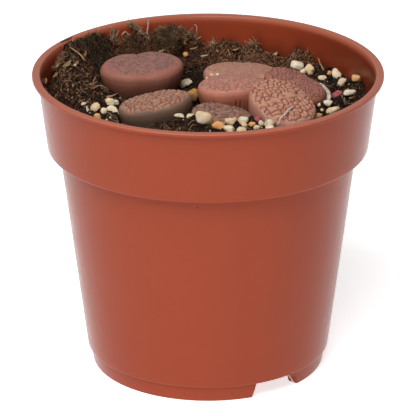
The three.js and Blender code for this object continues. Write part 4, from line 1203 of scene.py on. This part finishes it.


# Strands and roots laid one by one: corners of the path, thickness and tint.
laidForm = {"steps": 24, "sides": 8, "waver": 0.07, "waverLength": 1.1, "seed": 50, "taper": 0.55}
laidStrands = [
    ([(20.3, -28.8, 86.2), (21.3, -25.7, 86.9), (22.9, -23.2, 87.5), (24.7, -19.7, 88.1)], 0.3, 1.3),
    ([(22.2, -24.2, 87.4), (23.0, -22.0, 87.8), (25.2, -19.0, 88.2)], 0.16, 1.3),
    ([(16.9, -26.9, 84.2), (17.0, -25.4, 86.2), (16.4, -23.9, 87.6), (15.7, -22.9, 88.3)], 0.24, 1.2),
    ([(33.6, 30.0, 85.3), (34.4, 29.0, 83.7), (35.2, 28.0, 82.5), (35.8, 27.0, 81.2)], 0.5, 0.95),
    ([(-33.2, 35.2, 93.0), (-33.7, 34.7, 92.1), (-34.3, 34.1, 90.0)], 0.28, 0.95),
    ([(-29.5, 37.4, 92.3), (-29.5, 38.0, 90.6), (-28.6, 38.7, 88.7), (-27.4, 39.5, 86.4)], 0.35, 0.85),
    ([(-26.6, 40.1, 89.0), (-25.6, 40.8, 89.9), (-24.1, 41.7, 88.4), (-22.2, 42.7, 86.4),
      (-20.1, 43.7, 85.6), (-18.2, 44.5, 86.8)], 0.55, 1.05),
    ([(-24.3, 41.3, 93.2), (-23.4, 42.0, 91.7), (-21.6, 43.0, 89.8), (-19.2, 43.8, 87.4)], 0.65, 1.0),
    ([(-22.6, 42.3, 92.8), (-21.6, 42.8, 91.2), (-20.1, 43.4, 89.0)], 0.35, 1.0),
    ([(-18.3, 44.3, 92.6), (-18.5, 44.2, 90.6), (-18.7, 44.2, 88.3), (-18.0, 44.3, 85.8)], 0.6, 1.08),
    ([(-6.7, 46.4, 85.8), (-5.7, 46.8, 88.0), (-4.5, 46.9, 89.4)], 0.2, 1.0),
    ([(-4.3, 46.8, 90.3), (-3.5, 46.9, 89.6), (-3.4, 46.9, 87.0)], 0.26, 1.15),
    ([(-45.0, 24.6, 92.4), (-43.2, 26.7, 92.5), (-41.5, 29.3, 92.3)], 0.6, 0.75),
    ([(-34.6, 6.6, 85.6), (-34, 9.4, 86.4), (-33.6, 12.2, 86.2)], 0.45, 0.75),
    ([(-41.9, 20.6, 92.2), (-40.2, 19.6, 91.4), (-38.4, 18.4, 90.4), (-37.2, 17.0, 89.2)], 0.5, 0.95),
    ([(-41.0, 27.8, 92.4), (-41.1, 26.6, 92.3), (-41.3, 24.6, 91.6)], 0.35, 1.0),
    ([(-34.8, 2.0, 85.0), (-33.4, 3.2, 86.0), (-31.8, 3.9, 86.0), (-30.2, 4.2, 85.0)], 0.3, 0.95),
    ([(-6.0, -25.6, 84.4), (-4.6, -24.6, 85.6), (-3.2, -24.2, 85.4)], 0.18, 1.0),
    ([(-5.6, -29.5, 84.0), (-4.8, -27.6, 85.2), (-3.4, -26.2, 85.0)], 0.16, 1.0),
    ([(-13.6, -25.4, 82.2), (-12.4, -24.4, 83.6), (-11.2, -23.0, 83.4)], 0.2, 1.2),
    ([(8.6, -28.6, 85.2), (10.4, -27.2, 85.8), (12.2, -27.6, 85.2)], 0.5, 0.8),
    ([(13.4, -28.6, 84.6), (15.2, -29.6, 84.6), (16.9, -31.0, 84.0)], 0.5, 0.9),
    ([(24, -26.7, 5.4), (24.9, -26.2, 3.4), (25.8, -25.5, 1.8)], 0.3, 1.1),
    ([(39.6, 3.6, 83.6), (40.4, 0.6, 83.0), (41.2, -2.0, 82.0)], 0.35, 0.6),
]


def makeLaidStrands(material):
    # smooth lines through the corners that waver a little and thin out towards both ends
    form = laidForm
    paths = np.array([smoothLine(corners, form["steps"]) for corners, _, _ in laidStrands])
    paths += form["waver"] * np.stack([softNoise(paths, form["waverLength"], form["seed"] + i)
                                       for i in range(3)], -1)
    t = np.linspace(0, 1, form["steps"])
    radii = np.array([thick / 2 * (1 - form["taper"] * np.abs(2 * t - 1) ** 3)
                      for _, thick, _ in laidStrands])
    points, faceSets = tubes(paths, radii, form["sides"])
    tint = np.array([tint for _, _, tint in laidStrands])
    values = repeated(points, tint=tint, green=0 * tint)
    place(newPiece("laid_strands", points, faceSets, material, values), "peat")


# Mossy or papery bits that cling along a line: its corners, how many, how far they reach, tint and
# green of the dullest and the brightest.
fronds = [
    ([(-29.5, 37.7, 92.0), (-29.3, 38.0, 90), (-28.3, 38.8, 86.5)], 170, 1.4, (0.75, 1.15), (0.1, 0.45)),
    ([(-26.6, 40.1, 88.0), (-24.1, 41.7, 88), (-20.1, 43.4, 85.2), (-18.0, 44.0, 86.5)], 120, 1.2,
     (0.6, 1.05), (0.1, 0.45)),
    ([(-24.3, 41.3, 92.4), (-21.6, 42.8, 90), (-19.2, 43.8, 87.4)], 210, 1.6, (0.75, 1.15), (0.1, 0.45)),
    ([(-45.9, 12.0, 88.4), (-44.8, 16.5, 89.6), (-43.6, 21.0, 90.4)], 320, 1.3, (0.3, 1.0), (0, 0.4)),
    ([(-9.4, 45.2, 89.6), (-7.0, 45.8, 88.2), (-4.0, 46.3, 86.2)], 280, 1.4, (0.4, 1.1), (0, 0.3)),
    ([(0.8, 46.6, 82.6), (2.2, 46.6, 84.6)], 90, 1.6, (0.6, 1.1), (0, 0.2)),
    ([(12.2, 45.0, 82), (13.4, 45.0, 84), (15.0, 44.4, 85.4)], 240, 1.5, (0.55, 0.98), (0, 0.2)),
    ([(28.0, 37.4, 81.6), (31, 35.6, 84.2)], 220, 1.9, (0.3, 0.95), (0, 0.25)),
    ([(-5.6, 46.4, 83.8), (-2.0, 46.4, 85.6)], 90, 1.2, (0.4, 1.0), (0, 0.3)),
    ([(-8.0, 43.2, 85.5), (-7.2, 43.6, 88.2)], 50, 1.2, (0.5, 1.05), (0, 0.3)),
    ([(-44.4, 25.6, 92.2), (-41.5, 29.3, 92.2)], 30, 0.8, (0.4, 0.9), (0, 0.3)),
    ([(-42.5, 24.5, 90.6), (-39.0, 29.0, 91.4), (-33.5, 34.6, 91.2)], 320, 1.4, (0.3, 1.05), (0.05, 0.45)),
]
frondForm = {"seed": 41, "steps": 5, "linePoints": 40, "scatter": 0.35, "bend": 0.7, "stretch": 0.6,
             "shortest": 0.3, "radius": (0.07, 0.2), "taper": 0.6, "clearance": 0.05}


def makeFronds(material):
    # short bent fibres that start along the line and point every way
    form = frondForm
    draw = np.random.default_rng(form["seed"])
    paths, radii, tints, greens = [], [], [], []
    t = np.linspace(0, 1, form["steps"])[None, :, None]
    for corners, count, reach, tint, green in fronds:
        line = smoothLine(corners, form["linePoints"])
        foot = line[draw.integers(0, len(line), count)] + draw.normal(0, form["scatter"], (count, 3))
        out = draw.normal(size=(count, 1, 3))
        bend = draw.normal(0, form["bend"], (count, 1, 3))
        length = reach * draw.uniform(form["shortest"], 1, (count, 1, 1))
        paths.append(foot[:, None] + (out * t + bend * t**2) * length * form["stretch"])
        radii.append(draw.uniform(*form["radius"], (count, 1)) * (1 - form["taper"] * t[..., 0] ** 2))
        tints.append(draw.uniform(*tint, count))
        greens.append(draw.uniform(*green, count))
    paths, radii, tints, greens = (np.concatenate(parts) for parts in (paths, radii, tints, greens))
    keep = clearOf(paths, form["clearance"]).all(1)
    points, faceSets = tubes(paths[keep], radii[keep])
    values = repeated(points, tint=tints[keep], green=greens[keep])
    place(newPiece("mossy_fronds", points, faceSets, material, values), "moss")


# Thin dry flakes: middle, length, width and thickness, turn and tilt in degrees, bend, tint
# and green.
flakes = [
    ((-29.5, 0.4, 84.0), (5.0, 2.0, 0.4), -22, 18, 0.4, 0.95, 0),
    ((-48.7, 5.9, 86.8), (1.8, 0.9, 0.3), 80, 60, 0.1, 0.98, 0),
    ((-35.6, 0.6, 86.2), (3.8, 2.6, 0.5), 10, 14, 0.5, 0.5, 0),
    ((-34.4, 5.2, 86.4), (3.4, 2.2, 0.5), -15, 20, 0.5, 0.6, 0),
    ((-40.2, 17.6, 88.0), (2.8, 1.6, 0.4), 35, 30, 0.5, 0.72, 0),
    ((-41.6, 14.0, 87.4), (2.4, 1.4, 0.4), -50, 25, 0.4, 0.68, 0),
    ((-35.4, -14.6, 85.2), (2.8, 0.9, 0.5), 130, 48, 0.2, 1.15, 0),
    ((-7.4, 15.6, 81.4), (3.0, 1.1, 0.5), -60, 30, 0.3, 0.9, 0),
    ((-10.2, 14.0, 82.0), (2.2, 0.9, 0.4), 40, 20, 0.3, 0.85, 0),
    ((-45.8, 8.0, 88.0), (2.0, 1.1, 0.4), 60, 40, 0.3, 0.65, 0),
    ((-37.4, 22.4, 89.0), (2.4, 1.0, 0.4), 70, 35, 0.4, 0.65, 0),
    ((-4.4, 41.0, 84.6), (3.0, 1.2, 0.4), 5, 15, 0.3, 0.8, 0),
    ((8.6, 41.6, 84.0), (2.6, 1.4, 0.4), -20, 20, 0.3, 0.9, 0),
    ((20.4, 41.4, 82.4), (2.8, 1.5, 0.4), 12, 30, 0.3, 1.05, 0),
    ((1.7, 46.2, 84.0), (2.8, 1.2, 0.4), 100, 70, 0.3, 0.85, 0),
    ((13.2, 44.8, 84.2), (3.0, 1.4, 0.4), 80, 60, 0.4, 0.8, 0),
    ((43.0, 1.4, 83.2), (2.0, 1.4, 0.4), -30, 25, 0.3, 0.7, 0),
    ((35.2, 16.0, 82.4), (2.4, 1.6, 0.4), 40, 15, 0.3, 0.5, 0),
    ((36.0, -1.8, 82.4), (1.8, 1.2, 0.4), 25, 20, 0.2, 1.1, 0),
    ((33.0, 12.8, 82.8), (2.4, 1.2, 0.4), -35, 20, 0.3, 0.7, 0),
    ((-1.3, 33.8, 84.7), (2.3, 0.8, 0.4), 8, 6, 0.1, 1.08, 0),
    ((-14.3, 36.3, 85.4), (1.6, 1.2, 0.6), 20, 20, 0.3, 1.0, 0.4),
    ((-42.6, 14.8, 88.8), (3.2, 2.4, 1.0), 30, 25, 0.3, 0.9, 0.5),
    ((-45.4, 12.0, 89.4), (2.0, 1.0, 0.4), 60, 30, 0.3, 0.8, 0.3),
    ((-8.6, 45.2, 87.5), (2.4, 0.9, 0.4), 0, -60, 0.2, 1.0, 0),
    ((-5.2, 46.4, 86.4), (1.7, 1.2, 0.5), 10, 40, 0.2, 0.95, 0),
    ((-3.0, 46.4, 86.0), (2.0, 1.0, 0.5), -10, 20, 0.2, 0.9, 0),
]
flakeForm = {"rows": 7, "columns": 22, "ragged": 0.35, "raggedLength": 0.6, "seed": 120}


def makeFlakes(material):
    # a flattened ball with a ragged outline, bent along its length, tilted, then turned
    form = flakeForm
    directions = ballDirections(form["rows"], form["columns"])
    points, faceSets = [], []
    for i, (middle, size, turn, tilt, bend, _, _) in enumerate(flakes):
        ragged = layeredNoise(directions * (1, 1, 0) + 7 * i, form["raggedLength"], form["seed"] + i)
        ball = directions.copy()
        ball[..., :2] *= 1 + form["ragged"] * ragged[..., None]
        ball *= np.array(size) / 2
        ball[..., 2] += bend * ((2 * ball[..., 0] / size[0]) ** 2 - 0.5)
        slope, way = math.radians(tilt), math.radians(turn)
        x = ball[..., 0] * math.cos(slope) - ball[..., 2] * math.sin(slope)
        z = ball[..., 0] * math.sin(slope) + ball[..., 2] * math.cos(slope)
        y = ball[..., 1]
        rows = np.stack([x * math.cos(way) - y * math.sin(way),
                         x * math.sin(way) + y * math.cos(way), z], -1)
        flake, faces = closedSkin(rows + middle)
        faceSets += [f + i * len(flake) for f in faces]
        points.append(flake)
    points = np.vstack(points)
    values = repeated(points, tint=[row[-2] for row in flakes], green=[row[-1] for row in flakes])
    place(newPiece("dry_flakes", points, faceSets, material, values), "dry_leaf")


# flat squashes each crumb along one of its own axes
crumbGroups = [
    {"name": "peat_crumbs", "seed": 21, "count": 8500, "spots": None, "size": (0.3, 1.3), "flat": 1,
     "tint": (0.0, 0.5), "power": 2.5, "green": (0, 0.05), "slot": "peat", "material": "fibre"},
    {"name": "nest_crumbs", "seed": 22, "count": 4600, "spots": nestSpots, "size": (0.35, 1.45),
     "flat": 0.55, "tint": (0.0, 0.85), "power": 2.8, "green": (0, 0.06), "slot": "peat",
     "material": "fibre"},
    {"name": "back_crumbs", "seed": 23, "count": 2600, "spots": backSpots, "size": (0.4, 1.4), "flat": 0.6,
     "tint": (0.25, 0.75), "power": 1.0, "green": (0, 0.1), "slot": "peat", "material": "fibre"},
    {"name": "leaf_flakes", "seed": 24, "count": 300, "spots": nestSpots + backSpots + wallSpots,
     "size": (0.8, 2.2), "flat": 0.25, "tint": (0.5, 0.95), "power": 1, "green": (0, 0.15),
     "slot": "peat", "material": "fibre"},
    {"name": "moss_flakes", "seed": 25, "count": 90,
     "spots": [(-41, 17, 2.2, 2), (-38, 14, 2.5, 1), (-6, 43, 2.5, 1), (12, 43, 2, 1)],
     "size": (0.7, 1.6), "flat": 0.4, "tint": (0.6, 0.9), "power": 1, "green": (0.4, 1.0),
     "slot": "moss", "material": "fibre"},
    {"name": "rust_flakes", "seed": 26, "count": 46,
     "spots": [(-36, 15.5, 0.8, 3), (-35, 3, 4, 2), (-3.3, 18, 1.2, 2), (-40, 0, 3, 1), (-20, 38, 5, 1)],
     "size": (0.7, 1.7), "flat": 0.4, "tint": (0, 1), "power": 1, "green": (0, 0),
     "slot": "bark", "material": "bark"},
    {"name": "fine_grit", "seed": 27, "count": 120,
     "spots": [(-30, -9, 2.6, 3), (3, -26, 5, 4), (13, -26, 3, 3), (38, 12, 5, 2), (30, 28, 3, 1.5),
               (36, -4, 3, 1), (-28, -14, 3, 1)],
     "size": (0.45, 1.15), "flat": 0.8, "tint": (0, 1), "power": 1, "green": (0, 0),
     "slot": "grit_cream", "material": "grit"},
]


# how strongly small crumbs outnumber large ones, how far their sides differ, and how far they are
# sunk or raised, from and to, in quarters of their size
crumbForm = {"smallness": 2.2, "sides": (0.6, 1.2), "raised": (-0.5, 1.2)}


def makeCrumbs(materials):
    # grains that lie on the mix, some a little sunk and some raised
    form = crumbForm
    for group in crumbGroups:
        draw, count = np.random.default_rng(group["seed"]), group["count"]
        x, y = scattered(draw, count, group["spots"])
        low, high = group["size"]
        size = low + (high - low) * draw.random(count) ** form["smallness"]
        sizes = size[:, None] * draw.uniform(*form["sides"], (count, 3)) * (1, 1, group["flat"])
        raised = size / 4 * draw.uniform(*form["raised"], count)
        middles = np.stack([x, y, mixTop(x, y) + raised], -1)
        keep = clearOf(middles, size / 2)
        points, faceSets = lumps(draw, middles[keep], sizes[keep])
        tint, green = shades(draw, group, x[keep], y[keep])
        values = repeated(points, tint=tint, green=green, fresh=tint)
        piece = newPiece(group["name"], points, faceSets, materials[group["material"]], values)
        place(piece, group["slot"])


# Crumbs where they don't lie on the mix, for each material: their slot, then middles and sizes.
strayCrumbs = {
    "grit": ("grit_cream", [
        ((-40.2, 16.8, 87.8), (1.1, 0.9, 0.8)), ((1.2, 10.9, 86.6), (2.1, 1.6, 1.3)),
        ((-0.3, 10.2, 85.9), (1.6, 1.3, 1.1)), ((2.9, 11.2, 86.8), (1.6, 1.3, 1.1)),
        ((-13.2, -22.3, 82.8), (1.3, 1.2, 0.9)), ((33.0, -7.3, 84.0), (1.6, 1.1, 1.3)),
        ((33.8, -10.4, 83.6), (1.2, 1.4, 1.2)), ((31.8, 29.2, 81.8), (1.2, 1.1, 1.0)),
        ((7.9, -23.8, 86.0), (1.3, 1.1, 1.0)),
    ]),
    "fibre": ("peat", [
        ((-3.1, -48.3, 67.6), (0.8, 0.5, 0.4)), ((18.2, -36.2, 35.3), (0.5, 0.3, 0.5)),
        ((-41.0, -16.6, 66.0), (0.5, 0.5, 0.7)), ((-44.7, 21, 92.1), (0.8, 0.6, 0.4)),
        ((-42.4, 25.2, 92.1), (0.6, 0.7, 0.4)), ((-39.8, 28, 92.1), (0.9, 0.6, 0.4)),
    ]),
}
strayTint, straySeed = 0.2, 29


def makeStrays(materials):
    for kind, (slot, rows) in strayCrumbs.items():
        middles, sizes = np.array(rows).transpose(1, 0, 2)
        points, faceSets = lumps(np.random.default_rng(straySeed), middles, sizes)
        values = repeated(points, tint=[strayTint], green=[0])
        place(newPiece("stray_" + kind, points, faceSets, materials[kind], values), slot)


# stretch: the tuft's own half sizes beside its node's; core: how far, as a share of those, its ball
# and its blades' feet reach; lumpy and lump: how uneven it is, and the size of its lumps; mottle:
# the blades' mean tint, how far it varies over the tuft and from blade to blade
mossSetting = {
    "rows": 30, "columns": 48, "lift": 0.3, "stretch": (0.98, 1, 1.04), "core": (0.98, 0.97),
    "lumpy": 0.16, "lump": 1.9,
    "blades": 4600, "bladeSteps": 4, "bladeLength": (0.15, 0.45), "bladeRadius": (0.1, 0.2),
    "bladeBend": 0.8, "bladeTaper": 0.6, "mottle": (0.34, 0.5, 0.2), "mottleSize": 1.5, "green": (0, 0.36),
    "ballTint": 0.1, "ballGreen": 0.2, "lumpSeed": 31, "bladeSeed": 33, "mottleSeed": 35,
}


def mossReach(directions, base):
    # how far the tuft reaches each way, as a share of its half size: a ball with lumps
    s = mossSetting
    return (base + s["lumpy"] * layeredNoise(directions * 4, s["lump"], s["lumpSeed"]))[..., None]


def makeMoss(material):
    # a lumpy ball with short bent blades that start all over it and point outwards
    s, count = mossSetting, mossSetting["blades"]
    low, high = nodeBox("moss_tuft")
    middle, half = (low + high) / 2 + (0, 0, s["lift"]), (high - low) / 2 * s["stretch"]
    facing = ballDirections(s["rows"], s["columns"])
    points, faceSets = closedSkin(middle + facing * half * mossReach(facing, s["core"][0]))
    draw = np.random.default_rng(s["bladeSeed"])
    out = draw.normal(size=(count, 3))
    out /= np.linalg.norm(out, axis=1, keepdims=True)
    foot = middle + out * half * mossReach(out, s["core"][1])
    t = np.linspace(0, 1, s["bladeSteps"])[None, :, None]
    length = draw.uniform(*s["bladeLength"], (count, 1, 1))
    bend = draw.normal(0, s["bladeBend"], (count, 1, 3))
    paths = foot[:, None] + (out[:, None] * t + bend * t**2) * length
    radii = draw.uniform(*s["bladeRadius"], (count, 1)) * (1 - s["bladeTaper"] * t[..., 0])
    bladePoints, bladeFaces = tubes(paths, radii)
    mean, broad, each = s["mottle"]
    mottle = mean + broad * layeredNoise(foot, s["mottleSize"], s["mottleSeed"])
    mottle = mottle + draw.uniform(-each, each, count)
    green = draw.uniform(*s["green"], count)
    values = repeated(bladePoints, tint=np.clip(mottle, 0.02, 0.95), green=green)
    for title, number in (("tint", s["ballTint"]), ("green", s["ballGreen"])):
        values[title] = np.concatenate([np.full(len(points), number), values[title]])
    faceSets += [faces + len(points) for faces in bladeFaces]
    piece = newPiece("moss_ball", np.vstack([points, bladePoints]), faceSets, material, values)
    place(piece, "moss", "moss_tuft")


# View and light

# near and far are in metres
viewSetting = {"distance": 1084.46, "height": 490.14, "aim": 47.99, "lens": 335.2, "sensor": 36,
               "near": 0.05, "far": 20}
lightSetting = {"surround": 0.06, "key": 11.5, "keySize": 700, "keyAt": (-220, -620, 900),
                "fill": 0.7, "fillSize": 900, "fillAt": (0, -1000, 500),
                "back": 3, "backSize": 1400, "backAt": (0, 1000, 420), "aim": 60}
floorSetting = {"half": 4000, "drop": 0.05, "glow": 0.7, "white": "#ffffff", "grain": "#fcfcfc"}


def aimed(thing, at, to):
    # turned so that its own -Z points from one place to the other
    here, there = np.array(at) * mm, np.array(to) * mm
    ahead = (there - here) / np.linalg.norm(there - here)
    pitch = math.acos(-ahead[2])
    thing.location = here
    thing.rotation_euler = (pitch, 0, math.atan2(-ahead[0], ahead[1]))


def makeView():
    s = viewSetting
    data = bpy.data.cameras.new("camera")
    data.lens, data.sensor_width = s["lens"], s["sensor"]
    data.clip_start, data.clip_end = s["near"], s["far"]
    camera = bpy.data.objects.new("camera", data)
    scene.collection.objects.link(camera)
    aimed(camera, (0, -s["distance"], s["height"]), (0, 0, s["aim"]))
    scene.camera = camera
    scene.view_settings.view_transform = "Standard"


def makeLight():
    s = lightSetting
    world = bpy.data.worlds.new("studio")
    world.use_nodes = True
    surround = world.node_tree.nodes["Background"].inputs
    surround["Color"].default_value = colour("#ffffff")
    surround["Strength"].default_value = s["surround"]
    scene.world = world
    for name in ("key", "fill", "back"):
        data = bpy.data.lights.new(name, "AREA")
        data.energy, data.size = s[name], s[name + "Size"] * mm
        lamp = bpy.data.objects.new(name, data)
        scene.collection.objects.link(lamp)
        aimed(lamp, s[name + "At"], (0, 0, s["aim"]))


def makeFloor():
    # matt white studio board, lit from below so that it stays white round the pot
    s = floorSetting
    white = colour(s["white"])
    material, tree, shader, spot = newMaterial("studio board", {
        "Roughness": 0.9, "Specular IOR Level": 0.1, "Emission Color": white,
        "Emission Strength": s["glow"],
    })
    grain = addNode(tree, "TexNoise", {}, {"Vector": spot, "Scale": perMm(3), "Detail": 2})
    board = addNode(tree, "Mix", mixKind, {0: grain, 6: colour(s["grain"]), 7: white}, mixedColour)
    feed(tree, shader, {"Base Color": board})
    corners = [(-1, -1), (1, -1), (1, 1), (-1, 1)]
    points = np.array([[s["half"] * x, s["half"] * y, -s["drop"]] for x, y in corners])
    newPiece("floor", points, [np.array([[0, 1, 2, 3]])], material)


makeView()
makeLight()
makeFloor()
print("view, light and floor made")
makePot()
print("pot made")
makePlants()
print("plants made")
makeMix()
print("mix made")
makeGrit()
makeChip()
makeSheath()
print("grit, chip and sheath made")
materials = {"fibre": plantFibre(), "bark": bpy.data.materials["pine bark"],
             "grit": bpy.data.materials["cream river grit"]}
makeFibres(materials["fibre"])
makeLaidStrands(materials["fibre"])
makeFronds(materials["fibre"])
makeFlakes(materials["fibre"])
makeCrumbs(materials)
makeStrays(materials)
makeMoss(materials["fibre"])
print("fibres, flakes, crumbs and moss made")
